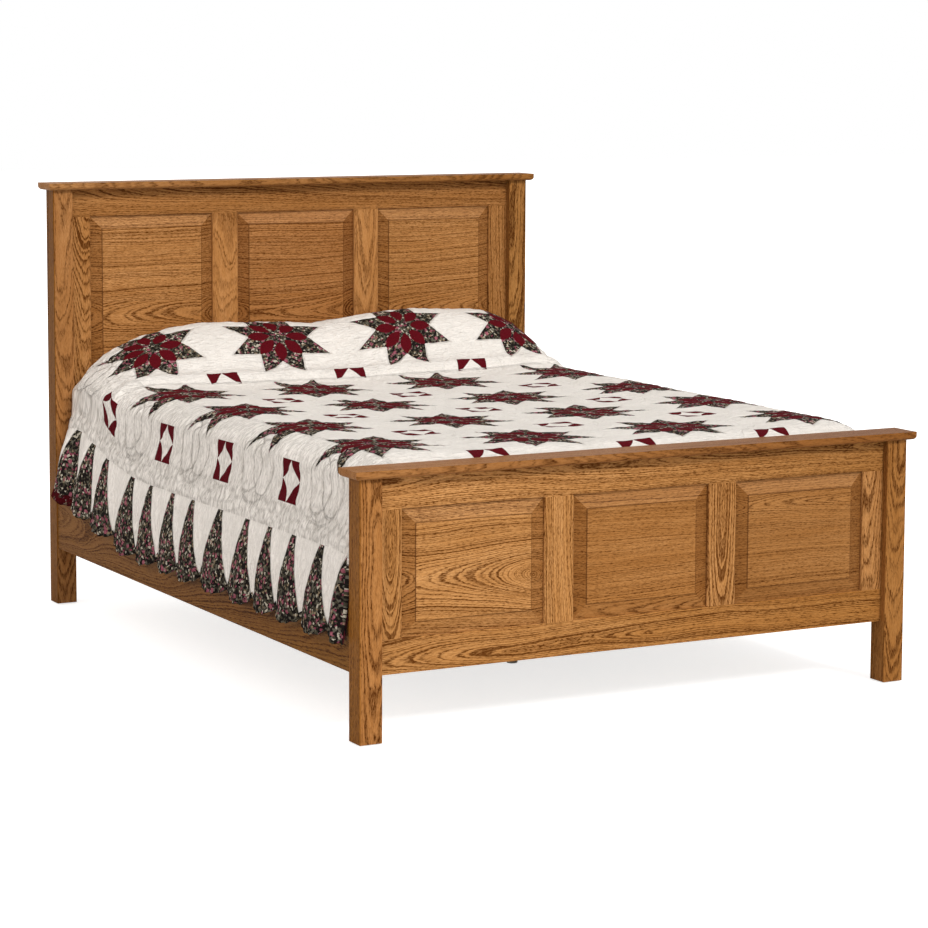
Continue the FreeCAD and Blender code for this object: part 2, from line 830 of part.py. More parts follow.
save("box_spring", padded_block(slat_top, box_top - slat_top, box_corner, box_edge, box_edge))
save("mattress", padded_block(box_top, mattress_thick, mattress_corner, mattress_edge, mattress_base_edge))
save("left_pillow", pillow(-1))
save("right_pillow", pillow(1))
save("quilt", quilt())
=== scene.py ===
import math

import bmesh
import bpy
import numpy as np
from mathutils import Matrix, Vector


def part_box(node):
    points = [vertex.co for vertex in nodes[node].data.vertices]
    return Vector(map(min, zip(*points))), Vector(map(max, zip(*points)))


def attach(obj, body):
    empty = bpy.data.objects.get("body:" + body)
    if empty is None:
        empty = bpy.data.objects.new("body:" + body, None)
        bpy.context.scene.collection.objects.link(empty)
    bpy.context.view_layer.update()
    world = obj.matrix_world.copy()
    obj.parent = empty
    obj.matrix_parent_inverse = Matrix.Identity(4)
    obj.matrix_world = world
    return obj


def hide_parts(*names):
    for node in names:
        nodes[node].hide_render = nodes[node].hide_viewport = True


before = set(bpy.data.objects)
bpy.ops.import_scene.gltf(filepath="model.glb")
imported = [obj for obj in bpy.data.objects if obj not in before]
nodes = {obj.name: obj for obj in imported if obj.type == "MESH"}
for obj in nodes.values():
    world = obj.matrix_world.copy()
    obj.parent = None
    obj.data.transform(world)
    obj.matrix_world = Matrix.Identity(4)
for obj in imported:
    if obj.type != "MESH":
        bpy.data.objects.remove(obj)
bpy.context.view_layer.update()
bpy.ops.object.select_all(action="DESELECT")
print("frame loaded:", len(nodes), "nodes")


# ---- helpers for objects and shader trees


def addObject(name, data):
    made = bpy.data.objects.new(name, data)
    bpy.context.scene.collection.objects.link(made)
    return made


def finishMesh(name, build):
    bmesh.ops.recalc_face_normals(build, faces=build.faces)
    mesh = bpy.data.meshes.new(name)
    build.to_mesh(mesh)
    build.free()
    return addObject(name, mesh)


class Signal:
    # a shader node's output that takes + - * / like a number

    def __init__(self, socket):
        self.socket = socket
        self.tree = socket.id_data

    def __add__(self, other):
        return calc("ADD", self, other)

    def __sub__(self, other):
        return calc("SUBTRACT", self, other)

    def __rsub__(self, other):
        return calc("SUBTRACT", other, self)

    def __mul__(self, other):
        return calc("MULTIPLY", self, other)

    def __truediv__(self, other):
        return calc("DIVIDE", self, other)

    def __pow__(self, other):
        return calc("POWER", self, other)

    def __abs__(self):
        return calc("ABSOLUTE", self)


def opaque(colour):
    return (*colour[:3], 1.0)


def grey(value):
    return (value, value, value)


def feed(socket, value):
    if isinstance(value, Signal):
        socket.id_data.links.new(value.socket, socket)
    else:
        socket.default_value = opaque(value) if socket.type == "RGBA" else value


def feedAll(sockets, values):
    for label, value in values.items():
        feed(sockets[label], value)


def addNode(tree, kind, **settings):
    node = tree.nodes.new("ShaderNode" + kind)
    for key, value in settings.items():
        setattr(node, key, value)
    return node


def outputsOf(node):
    return [Signal(socket) for socket in node.outputs]


def calc(operation, *values, clamp=False):
    tree = next(value.tree for value in values if isinstance(value, Signal))
    node = addNode(tree, "Math", operation=operation, use_clamp=clamp)
    for socket, value in zip(node.inputs, values):
        feed(socket, value)
    return outputsOf(node)[0]


def timesPlus(value, factor, addend):
    return calc("MULTIPLY_ADD", value, factor, addend)


def distanceOf(a, b):
    return calc("SQRT", a * a + b * b)


def vectorOf(x, y, z=0.0):
    node = addNode(x.tree, "CombineXYZ")
    for socket, value in zip(node.inputs, (x, y, z)):
        feed(socket, value)
    return outputsOf(node)[0]


def partsOf(value, kind="SeparateXYZ"):
    node = addNode(value.tree, kind)
    feed(node.inputs[0], value)
    return outputsOf(node)


def noiseOf(place, scale, detail=2.0, roughness=0.5):
    node = addNode(place.tree, "TexNoise")
    feedAll(node.inputs, {"Vector": place, "Scale": scale, "Detail": detail, "Roughness": roughness})
    return outputsOf(node)  # its value, then its colour


def spread(value, low, high, newLow=0.0, newHigh=1.0, smooth=False):
    node = addNode(value.tree, "MapRange", interpolation_type="SMOOTHSTEP" if smooth else "LINEAR")
    limits = {"From Min": low, "From Max": high, "To Min": newLow, "To Max": newHigh}
    feedAll(node.inputs, {"Value": value, **limits})
    return outputsOf(node)[0]


def mixed(share, first, second, blend="MIX"):
    node = addNode(share.tree, "Mix", data_type="RGBA", blend_type=blend)
    feedAll(node.inputs, {0: share, 6: first, 7: second})
    return outputsOf(node)[2]


def ramp(value, stops, constant=False):
    node = addNode(value.tree, "ValToRGB")
    feed(node.inputs[0], value)
    elements = node.color_ramp.elements
    while len(elements) < len(stops):
        elements.new(0.5)
    for element, (place, colour) in zip(elements, stops):
        element.position = place
        element.color = opaque(colour)
    node.color_ramp.interpolation = "CONSTANT" if constant else "LINEAR"
    return outputsOf(node)[0]


def addBump(shader, height, strength, distance):
    node = addNode(height.tree, "Bump")
    feedAll(node.inputs, {"Strength": strength, "Distance": distance, "Height": height})
    feed(shader["Normal"], outputsOf(node)[0])


def newMaterial(name):
    material = bpy.data.materials.new(name)
    material.use_nodes = True
    shader = material.node_tree.nodes["Principled BSDF"]
    return material, material.node_tree, shader.inputs


def objectPlace(tree):
    return Signal(addNode(tree, "TexCoord").outputs["Object"])


def newGroup(name, inputs, outputs):
    # an input's usual value is a number or a colour, and a place has none
    kinds = {float: "Float", tuple: "Color", type(None): "Vector"}
    group = bpy.data.node_groups.new(name, "ShaderNodeTree")
    for label, value in inputs.items():
        kind = kinds[type(value)]
        socket = group.interface.new_socket(label, in_out="INPUT", socket_type="NodeSocket" + kind)
        if kind != "Vector":
            socket.default_value = opaque(value) if kind == "Color" else value
    for label, kind in outputs.items():
        group.interface.new_socket(label, in_out="OUTPUT", socket_type="NodeSocket" + kind)
    start = group.nodes.new("NodeGroupInput")
    end = group.nodes.new("NodeGroupOutput")
    return group, {label: Signal(start.outputs[label]) for label in inputs}, end.inputs


def placeGroup(tree, group, values):
    node = addNode(tree, "Group", node_tree=group)
    feedAll(node.inputs, values)
    return outputsOf(node)


# ---- oak

oakColours = {
    "light": (0.64, 0.330, 0.125),
    "middle": (0.43, 0.190, 0.054),
    "dark": (0.105, 0.032, 0.005),
}
oakFinish = {"specular": 0.05, "specularTint": (1.0, 0.62, 0.32), "bump": 0.35, "poreDepth": 0.0004}
# how a board was cut, in metres; across and depth are seen from its front
usualBoard = {
    "pithAcross": 0.0,  # from the board's middle to the middle of its log
    "pithDepth": 0.07,
    "leanAcross": 0.0,  # how far the log leans, per metre of board
    "leanDepth": 0.05,
    "apex": 0.0,  # where along the board the grain's arches turn
    "run": 10.0,  # how far from there the lean goes on
    "ringWidth": 0.0034,
    "swirl": 0.05,
    "staveWidth": 5.0,  # of the boards glued side by side
    "throw": 0.1,  # how far apart their logs lie
    "seed": 0.0,
    "contrast": 0.9,
}
# how fast each layer of the grain changes, along a board and across it
grainLayers = {
    "swirl": (1.5, 5.0),
    "wave": (7.0, 30.0),
    "ragged": (60.0, 420.0),
    "fibre": (34.0, 330.0),
    "pore": (95.0, 430.0),
    "tone": (2.5, 22.0),
}
ringLook = {
    "wander": 0.006,  # how far a ring strays, in metres
    "ragged": 0.0024,
    "changes": 45.0,  # how often the rings' width changes, per metre
    "change": 1.5,
}
# one growth ring, from its open pores to the next ring's
ringShades = ((0.0, 0.4), (0.07, 1.0), (0.30, 0.85), (0.46, 0.25), (0.80, 0.0), (1.0, 0.3))


def capital(name):
    return name[0].upper() + name[1:]


def makeOakGroup():
    inputs = {"Vector": None}
    inputs.update({capital(key): value for key, value in {**usualBoard, **oakColours}.items()})
    outputs = {"Color": "Color", "Roughness": "Float", "Height": "Float"}
    group, given, made = newGroup("oakGrain", inputs, outputs)
    along, across, depth = partsOf(given["Vector"])

    # glued-up boards: each stave has its own log
    stave = calc("FLOOR", across / given["StaveWidth"] + 0.5)
    dice = addNode(group, "TexWhiteNoise", noise_dimensions="2D")
    feed(dice.inputs["Vector"], vectorOf(stave, given["Seed"]))
    throws = partsOf(Signal(dice.outputs["Color"]), "SeparateColor")
    shiftAlong = timesPlus(throws[0], 3.0, along)
    seedShift = given["Seed"] * 7.31

    def layer(name, seeded=False):
        lengthwise, crosswise = grainLayers[name]
        first = timesPlus(shiftAlong, lengthwise, seedShift) if seeded else shiftAlong * lengthwise
        return vectorOf(first, across * crosswise, depth * crosswise)

    # slow swirls of the trunk, then finer waves and the ragged edge of the pores
    swirl = partsOf(noiseOf(layer("swirl", seeded=True), 1.0, 1.5)[1])
    wave = noiseOf(layer("wave", seeded=True), 1.0)[0] - 0.5
    ragged = noiseOf(layer("ragged"), 1.0)[0] - 0.5

    # the log leans through the board, less and less away from the arches' apex
    fromApex = along - given["Apex"]
    run = fromApex / (abs(fromApex) / given["Run"] + 1.0)

    def fromPith(place, pith, lean, drift, share):
        moved = timesPlus(run, lean, place - pith)
        moved = timesPlus(drift - 0.5, given["Swirl"], moved)
        return timesPlus(share - 0.5, given["Throw"], moved)

    aside = fromPith(across, given["PithAcross"], given["LeanAcross"], swirl[0], throws[1])
    behind = fromPith(depth, given["PithDepth"], given["LeanDepth"], swirl[1], throws[2])
    radius = timesPlus(wave, ringLook["wander"], distanceOf(aside, behind))
    radius = timesPlus(ragged, ringLook["ragged"], radius)
    ringSpread = addNode(group, "TexNoise", noise_dimensions="1D")
    feedAll(ringSpread.inputs, {"W": timesPlus(radius, ringLook["changes"], seedShift), "Detail": 1.0})
    rings = timesPlus(outputsOf(ringSpread)[0], ringLook["change"], radius / given["RingWidth"])
    band = ramp(calc("FRACT", rings), [(place, grey(shade)) for place, shade in ringShades])
    ringDice = addNode(group, "TexWhiteNoise", noise_dimensions="1D")
    feed(ringDice.inputs["W"], calc("FLOOR", rings) + seedShift)
    boldness = spread(Signal(ringDice.outputs["Value"]), 0.0, 1.0, 0.5, 1.1)

    # pores and fibres, long along the grain
    fibre = noiseOf(layer("fibre"), 1.0, 3.0, 0.65)[0]
    pore = spread(noiseOf(layer("pore"), 1.0, 1.0)[0], 0.50, 0.60, smooth=True)
    lines = band * boldness * spread(fibre, 0.34, 0.60, 0.7, 1.2)
    pores = pore * timesPlus(band, 0.35, 0.30)
    darkness = calc("MULTIPLY", lines + pores, given["Contrast"], clamp=True)

    # tone of the board, of each stave and along the grain
    tone = spread(noiseOf(layer("tone", seeded=True), 1.0, 3.0, 0.6)[0], 0.3, 0.7)
    base = mixed(tone * 0.6 + throws[1] * 0.4, given["Middle"], given["Light"])
    base = mixed(spread(fibre, 0.38, 0.62, 0.0, 0.6), base, given["Middle"])
    feed(made["Color"], mixed(darkness, base, given["Dark"]))
    feed(made["Roughness"], timesPlus(darkness, 0.22, 0.36))
    feed(made["Height"], 1.0 - darkness)
    return group


bevelLook = {
    "reach": 0.0462,  # from the panel's edge in its groove to the raised field
    "blur": 0.0005,
    # end bevels: end-grain stain plus painted shade; lower bevel: painted shade; upper bevel: painted
    # highlight
    "endStainAndShadeShare": 0.75,
    "stainAndShadeColour": (0.62, 0.54, 0.45),
    "bottomShadeShare": 0.25,
    "topHighlightShare": 0.05,
    "topHighlightColour": (0.80, 0.50, 0.30),
    "stepShadowWidth": 0.0022,  # painted shadow of the step round the raised field
    "stepShadowShare": 0.8,
    "stepShadowColour": (0.10, 0.035, 0.010),
}


def makeBevelGroup():
    # end grain on the bevels' ends drinks more stain, and painted shade darkens them further; painted shade
    # on the lower bevel, a painted highlight on the upper one, and a painted shadow of the step round the
    # field
    look = bevelLook
    inputs = {"Color": grey(0.0)}
    inputs.update({label: 0.0 for label in ("X", "Z", "Left", "Right", "Bottom", "Top")})
    group, given, made = newGroup("bevelTone", inputs, {"Color": "Color"})
    bottom = given["Z"] - given["Bottom"]
    top = given["Top"] - given["Z"]
    ends = calc("MINIMUM", given["X"] - given["Left"], given["Right"] - given["X"])
    sides = calc("MINIMUM", bottom, top)
    inset = calc("MINIMUM", ends, sides)
    onBevel = spread(inset, look["reach"] + look["blur"], look["reach"] - look["blur"])
    isEnd = onBevel * spread(ends - sides, look["blur"], -look["blur"])
    isTop = (onBevel - isEnd) * calc("LESS_THAN", top, bottom)
    isBottom = onBevel - isEnd - isTop
    # painted shade and end-grain stain on the ends, painted shade below, painted highlight above
    colour = mixed(isEnd * look["endStainAndShadeShare"], given["Color"], look["stainAndShadeColour"], "MULTIPLY")
    colour = mixed(isBottom * look["bottomShadeShare"], colour, look["stainAndShadeColour"], "MULTIPLY")
    colour = mixed(isTop * look["topHighlightShare"], colour, look["topHighlightColour"])
    # painted shadow: a dark line where the raised field steps down to the bevel
    inStepShadow = spread(abs(inset - look["reach"]), 0.0, look["stepShadowWidth"], look["stepShadowShare"], 0.0)
    feed(made["Color"], mixed(inStepShadow, colour, look["stepShadowColour"]))
    return group


oakGroup = makeOakGroup()
bevelGroup = makeBevelGroup()
grainAxes = {"x": (0, 2, 1), "y": (1, 2, 0), "z": (2, 0, 1)}  # along, across and depth


def grainOf(node):
    if "side_rail" in node or "cleat" in node:
        return "y"
    return "z" if any(part in node for part in ("stile", "post", "leg", "dowels")) else "x"


def tinted(colour, tint):
    return tuple(channel * share for channel, share in zip(colour, tint))


def oakMaterial(node, look, family="oak"):
    material, tree, shader = newMaterial(f"{family}_{node}")
    board = {**usualBoard, **look}
    tint = look.get("tint", grey(1.0))
    low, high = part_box(node)
    middle = (low + high) / 2
    place = partsOf(objectPlace(tree))
    values = {"Vector": vectorOf(*[place[i] - middle[i] for i in grainAxes[grainOf(node)]])}
    values.update({capital(key): board[key] for key in usualBoard})
    values.update({capital(key): tinted(colour, tint) for key, colour in oakColours.items()})
    colour, roughness, height = placeGroup(tree, oakGroup, values)
    if "panel" in node:
        edges = {"Left": low[0], "Right": high[0], "Bottom": low[2], "Top": high[2]}
        colour = placeGroup(tree, bevelGroup, {"Color": colour, "X": place[0], "Z": place[2], **edges})[0]
    if "sideShadeTint" in look:  # painted shade on the outer left sides, which face away from the key light
        onSide = spread(place[0], low[0] + 0.0025, low[0] + 0.0015)
        colour = mixed(onSide, colour, look["sideShadeTint"], "MULTIPLY")
    if "rightTint" in look:  # darker towards the right end
        colour = mixed(spread(place[0], -0.75, 0.75), colour, look["rightTint"], "MULTIPLY")
    feedAll(shader, {"Base Color": colour, "Roughness": roughness})
    feedAll(shader, {"Specular IOR Level": oakFinish["specular"], "Specular Tint": oakFinish["specularTint"]})
    addBump(shader, height, oakFinish["bump"], oakFinish["poreDepth"])
    return material


def dress(node, material):
    slots = nodes[node].data.materials
    if len(slots) == 0:
        slots.append(material)
    for i in range(len(slots)):
        slots[i] = material


# where each board differs from the usual one, how dark the stain is on it, and the painted shade on its outer
# left side
boardLooks = {
    "foot_cap": dict(pithDepth=0.15, contrast=0.6, tint=(0.78, 0.73, 0.72), rightTint=(0.675, 0.59, 0.45)),
    "head_cap": dict(pithDepth=0.15, contrast=0.6, tint=(0.78, 0.76, 0.78), rightTint=(0.73, 0.66, 0.50)),
    "foot_top_rail": dict(
        pithAcross=0.035, pithDepth=0.03, leanDepth=0.02, apex=-0.5, throw=0.0, ringWidth=0.0038,
        tint=(1.13, 1.13, 1.12), rightTint=(0.69, 0.64, 0.53),
    ),
    "foot_bottom_rail": dict(
        pithAcross=-0.01, pithDepth=0.015, leanDepth=0.035, apex=-0.1, throw=0.0, ringWidth=0.0040,
        swirl=0.06, tint=(1.01, 1.01, 0.99), rightTint=(0.81, 0.75, 0.60),
    ),
    "head_top_rail": dict(pithAcross=0.04, tint=(0.80, 0.75, 0.70)),
    "head_bottom_rail": dict(),
    "foot_left_panel": dict(
        pithAcross=-0.035, pithDepth=0.0, leanAcross=0.12, leanDepth=0.55, apex=0.17, run=0.13, throw=0.0,
        ringWidth=0.0040, tint=(1.03, 1.03, 1.02),
    ),
    "foot_middle_panel": dict(
        pithAcross=-0.15, pithDepth=0.05, leanAcross=0.03, throw=0.0, swirl=0.04, contrast=0.75,
        tint=(0.84, 0.79, 0.71),
    ),
    "foot_right_panel": dict(
        pithAcross=0.095, pithDepth=0.02, leanDepth=0.06, apex=-0.12, throw=0.0, swirl=0.03, contrast=0.75,
        tint=(0.77, 0.73, 0.67),
    ),
    "head_left_panel": dict(staveWidth=0.16, tint=(0.93, 0.9, 0.88)),
    "head_middle_panel": dict(pithDepth=0.08, staveWidth=0.17, tint=(0.82, 0.75, 0.72)),
    "head_right_panel": dict(pithDepth=0.08, staveWidth=0.19, tint=(0.88, 0.85, 0.82)),
    "foot_left_stile": dict(pithDepth=0.0, leanDepth=0.17, apex=0.03, throw=0.0, swirl=0.02, ringWidth=0.005),
    "foot_left_middle_stile": dict(
        pithAcross=0.05, pithDepth=0.06, leanDepth=0.01, contrast=0.75, tint=(1.05, 1.05, 1.03),
    ),
    "foot_right_middle_stile": dict(pithDepth=0.0, leanDepth=0.1, throw=0.0, swirl=0.02, ringWidth=0.008),
    "foot_right_stile": dict(contrast=0.75, tint=(0.84, 0.80, 0.76)),
    "head_left_stile": dict(pithDepth=0.05, leanDepth=0.1, tint=(0.9, 0.87, 0.85)),
    "head_left_middle_stile": dict(pithDepth=0.12, contrast=0.55, tint=(0.92, 0.88, 0.85)),
    "head_right_middle_stile": dict(pithDepth=0.12, contrast=0.55, tint=(0.9, 0.86, 0.83)),
    "head_right_stile": dict(pithAcross=0.07, tint=(0.85, 0.82, 0.79)),
    "foot_left_post": dict(
        pithAcross=0.06, leanDepth=0.015, contrast=0.75, sideShadeTint=(0.73, 0.67, 0.37), tint=(0.76, 0.67, 0.57),
    ),
    "foot_right_post": dict(pithDepth=0.12, contrast=0.65, tint=(0.67, 0.60, 0.47)),
    "head_left_post": dict(
        pithDepth=0.12, contrast=0.65, sideShadeTint=(0.56, 0.48, 0.17), tint=(0.76, 0.71, 0.70),
    ),
    "head_right_post": dict(pithDepth=0.08, contrast=0.75, tint=(0.67, 0.62, 0.50)),
    "left_side_rail": dict(
        pithDepth=0.12, contrast=0.7, sideShadeTint=(0.53, 0.50, 0.20), tint=(0.80, 0.70, 0.58),
    ),
    "right_side_rail": dict(pithDepth=0.12, contrast=0.7, tint=(0.80, 0.70, 0.58)),
}
for seed, (node, look) in enumerate(boardLooks.items(), 1):
    dress(node, oakMaterial(node, {"seed": float(seed), **look}))
print("oak boards dressed")

# ---- unfinished hardwood, steel and nylon

hardwoodLook = {"tint": (1.25, 1.55, 2.4), "contrast": 0.45, "pithDepth": 0.09}
hardwoodNames = ("slat_", "support_leg", "left_cleat", "right_cleat", "foot_cap_dowels", "head_cap_dowels")


def makeSteel():
    material, tree, shader = newMaterial("zincSteel")
    place = objectPlace(tree)
    cloud = noiseOf(place, 90.0, 4.0, 0.6)[0]
    colour = ramp(cloud, [(0.3, (0.42, 0.42, 0.40)), (0.5, (0.58, 0.58, 0.56)), (0.7, (0.70, 0.69, 0.64))])
    feedAll(shader, {"Base Color": colour, "Metallic": 1.0, "Roughness": spread(cloud, 0.3, 0.7, 0.3, 0.5)})
    addBump(shader, noiseOf(place, 900.0)[0], 0.15, 0.0002)
    return material


def makeNylon():
    material, tree, shader = newMaterial("glideNylon")
    speckle = noiseOf(objectPlace(tree), 400.0, 3.0)[0]
    colour = ramp(speckle, [(0.3, (0.60, 0.57, 0.50)), (0.7, (0.72, 0.69, 0.62))])
    feedAll(shader, {"Base Color": colour, "Roughness": spread(speckle, 0.3, 0.7, 0.45, 0.6)})
    addBump(shader, speckle, 0.2, 0.0002)
    return material


steel = makeSteel()
for node in nodes:
    if any(part in node for part in ("plates", "screws", "inserts", "levelling")):
        dress(node, steel)
    elif node.startswith(hardwoodNames):
        seed = 40.0 + len(node) + ord(node[-1])
        dress(node, oakMaterial(node, {"seed": seed, **hardwoodLook}, "hardwood"))
dress("post_glides", makeNylon())
print("fittings dressed")

# ---- the quilt's shape

quiltShape = {
    "halfWidth": 1.235,  # from the middle to the hem along the cloth
    "columns": 264,
    "rows": 297,
    "tuckRows": 30,
    "tuckStep": 0.0088,
    "coarse": 3,  # how many of the cloth's faces one of the lining's spans
    "footY": -1.0285,
    "headY": 1.0285,
    "thickness": 0.009,
    "starPitchAcross": 0.440,
    "starPitchAlong": 0.435,
    "firstStarRow": -0.800,
    "goreStart": 1.002,
    "gorePitch": 0.158,
    "flounce": 0.013,
    "scallop": 0.038,
}
# heights along the bed's middle
quiltRise = {
    "flat": 0.7083,
    "start": 0.610,  # up over the pillows
    "length": 0.330,
    "height": 0.172,
    "backStart": 0.940,  # down again behind them
    "backLength": 0.0885,
    "backDrop": 0.055,
    "turnStart": -0.950,  # over the mattress's foot edge
    "turnLength": 0.0785,
    "turnDrop": 0.070,
}
# wrinkles across the top, by the pillows' front edge: place, width and height
topWrinkles = ((0.640, 0.013, -0.010), (0.612, 0.020, 0.006), (0.677, 0.025, 0.013))
# a section across the bed, from its middle over the edge down to the hem
quiltSection = {
    "dip": 0.022,  # between the pillows
    "crown": 0.005,
    "edge": 0.715,
    "edgeFuller": 0.022,  # away from the foot
    "edgeDrawnIn": 0.065,  # over the pillows
    "edgeDrop": 0.025,
    "bulge": 0.22,  # of the way from the edge to the shoulder
    "shoulder": (0.793, 0.603),
    "shoulderDrop": 0.045,
    "rail": 0.826,
    "low": (0.849, 0.372),
    "hem": (0.860, 0.246),
    "hemRise": 0.090,  # towards the head
    "hemRiseStart": 0.300,
    "hemRiseLength": 0.7285,
}
foldLook = {
    "wave": 0.0045,  # on the drops
    "ripple": 0.0025,
    "lift": 0.0028,  # on the top
    "fineLift": 0.0012,
    "headFold": 0.016,
    "headPitch": 0.155,
    "turnIn": 0.021,  # of the drop's foot end, behind the post
    "turnInStart": -0.985,
    "turnInLength": 0.0435,
    "pillowRight": 0.009,  # the right-hand pillow is fuller than the left one
    "pillowLeft": 0.030,
}
starSizes = {"tip": 0.182, "notch": 0.101, "petalMiddle": 0.065, "petalLong": 0.038, "petalWide": 0.0205}
stitchSizes = {
    "ring": 0.105,  # round each small square
    "bigRound": 0.098,  # on the drop, in line with each row of stars
    "bigMiddle": 0.862,
    "lens": 0.075,
    "lensShift": 0.049,
    "band": 0.945,  # the scrolled band's middle, its swing, its repeat and its small rounds
    "bandSwing": 0.018,
    "bandPitch": 0.145,
    "bandRound": 0.022,
}
# depth and width of each stitched groove
grooves = {
    "star": (0.0014, 0.008),
    "ring": (0.0007, 0.008),
    "bigRound": (0.0032, 0.007),
    "lens": (0.0022, 0.006),
    "band": (0.0024, 0.006),
    "gore": (0.0018, 0.006),
}
puffHeights = {"coarse": 0.0022, "fine": 0.0016}
hemLook = {
    "drawnIn": 0.0022,
    "rufflePitch": 0.030,
    "finePitch": 0.047,
    "wave": 0.003,
    "wavePitch": 0.037,
}
# where the cloth's rows lie along the bed, on top and on the drops
topLay = {
    "place": (
        -1.0285, -1.015, -0.99, -0.95, -0.80, -0.41, -0.01, 0.407,
        0.56, 0.618, 0.640, 0.651, 0.690, 0.84, 0.95, 1.0285,
    ),
    "cloth": (
        -1.065, -1.03, -0.993, -0.952, -0.80, -0.365, 0.07, 0.505,
        0.624, 0.670, 0.684, 0.733, 0.786, 0.945, 1.08, 1.17,
    ),
}
dropLay = {
    "place": (-1.0285, -0.598, -0.163, 0.251, 0.697, 1.0285),
    "cloth": (-1.02, -0.582, -0.147, 0.288, 0.723, 1.05),
}
# how far the stars lie aside, row by row, for cloth laid a little askew
askew = {
    "rows": (-0.80, -0.41, -0.01, 0.407, 0.671, 0.83),
    "columns": (-0.66, -0.22, 0.22, 0.66),
    "aside": (
        (-0.013, -0.028, -0.042, -0.026),
        (-0.016, -0.002, 0.009, 0.021),
        (-0.011, 0.029, 0.034, 0.034),
        (-0.011, 0.021, 0.019, 0.008),
        (0.0, 0.0, 0.0, -0.005),
        (-0.070, -0.049, -0.058, -0.020),
    ),
}
# middles of the print gores along the drop
gorePlaces = (
    -1.012, -0.867, -0.693, -0.550, -0.402, -0.221, -0.027, 0.110, 0.273, 0.418, 0.640, 0.772, 0.922,
)


def smoothStep(t):
    t = np.clip(t, 0.0, 1.0)
    return t * t * (3 - 2 * t)


def hump(value, middle, width):
    return np.exp(-(((value - middle) / width) ** 2))


def centred(value, pitch, shift=0.0):
    # from the middle of the repeat that a place lies in
    return (np.mod(value / pitch + shift, 1.0) - 0.5) * pitch


def pillowShare(y):
    return smoothStep((y - quiltRise["start"]) / quiltRise["length"])


def quiltTop(y):
    rise = quiltRise
    back = smoothStep((y - rise["backStart"]) / rise["backLength"])
    z = rise["flat"] + rise["height"] * pillowShare(y) - rise["backDrop"] * back
    for place, width, height in topWrinkles:
        z = z + height * hump(y, place, width)
    turn = np.clip((rise["turnStart"] - y) / rise["turnLength"], 0.0, 1.0)
    return z - rise["turnDrop"] * (1 - np.sqrt(1 - turn * turn * 0.9999))


def goreIndex(y):
    # counts along the drop, a whole number in the middle of each gore
    step = quiltShape["gorePitch"]
    places = (gorePlaces[0] - step, *gorePlaces, gorePlaces[-1] + step)
    return np.interp(y, places, np.arange(len(places), dtype=float))


def starsAside(u, y):
    rows = np.array([np.interp(u, askew["columns"], row) for row in askew["aside"]])
    return np.array([np.interp(y, askew["rows"], column) for column in rows.T]).T


def sectionCurve(y, spanPoints=32):
    look = quiltSection
    over = float(pillowShare(y))
    top = float(quiltTop(y))
    full = (1 - over) * float(smoothStep((y + 1.0) / 0.12))
    edgeX = look["edge"] + look["edgeFuller"] * full - look["edgeDrawnIn"] * over
    edge = np.array([edgeX, top + 0.004 * full - look["edgeDrop"] * over])
    shoulder = np.array([look["shoulder"][0], min(look["shoulder"][1], edge[1] - look["shoulderDrop"])])
    chord = shoulder - edge
    bend = (edge + shoulder) / 2 + np.array([-chord[1], chord[0]]) * look["bulge"]
    hemX, hemZ = look["hem"]
    hemZ += look["hemRise"] * float(smoothStep((y - look["hemRiseStart"]) / look["hemRiseLength"]))
    points = np.array([
        (-0.1, top - look["dip"] * over),
        (0.0, top - look["dip"] * over),
        (edgeX * 0.28, top - 0.004 * over + 0.003 * (1 - over)),
        (edgeX * 0.62, top + look["crown"] * (1 - over)),
        edge,
        bend,
        shoulder,
        (look["rail"], 0.5 * (shoulder[1] + look["low"][1]) + 0.01),
        look["low"],
        (hemX, hemZ),
        (hemX + 0.006, hemZ - 0.1),
    ])
    curve = []
    for i in range(1, len(points) - 2):
        # a centripetal spline from each point to the next
        p0, p1, p2, p3 = points[i - 1 : i + 3]
        t1 = np.hypot(*(p1 - p0)) ** 0.5
        t2 = t1 + np.hypot(*(p2 - p1)) ** 0.5
        t3 = t2 + np.hypot(*(p3 - p2)) ** 0.5
        t = np.linspace(t1, t2, spanPoints, endpoint=False)[:, None]
        a1 = (t1 - t) / t1 * p0 + t / t1 * p1
        a2 = (t2 - t) / (t2 - t1) * p1 + (t - t1) / (t2 - t1) * p2
        a3 = (t3 - t) / (t3 - t2) * p2 + (t - t2) / (t3 - t2) * p3
        b1 = (t2 - t) / t2 * a1 + t / t2 * a2
        b2 = (t3 - t) / (t3 - t1) * a2 + (t - t1) / (t3 - t1) * a3
        curve.append((t2 - t) / (t2 - t1) * b1 + (t - t1) / (t2 - t1) * b2)
    curve = np.concatenate(curve + [points[-2][None, :]])
    along = np.concatenate([[0.0], np.cumsum(np.hypot(*np.diff(curve, axis=0).T))])
    return curve, along / along[-1]


def softNoise(x, y, seed):
    total = np.zeros_like(x)
    rng = np.random.default_rng(seed)
    for _ in range(7):
        angle = rng.uniform(0, math.tau)
        stretch = rng.uniform(0.7, 1.5)
        phase = rng.uniform(0, math.tau)
        total += np.sin((x * math.cos(angle) + y * math.sin(angle)) * stretch * math.tau + phase)
    return total / 7


def starEdge(radius, angle):
    # from a star's outline, with the angle folded onto half a point
    tip, notch = starSizes["tip"], starSizes["notch"]
    nx, ny = notch * math.cos(math.pi / 8), notch * math.sin(math.pi / 8)
    x, y = radius * np.cos(angle), radius * np.sin(angle)
    return ((x - tip) * ny - y * (nx - tip)) / math.hypot(ny, nx - tip)


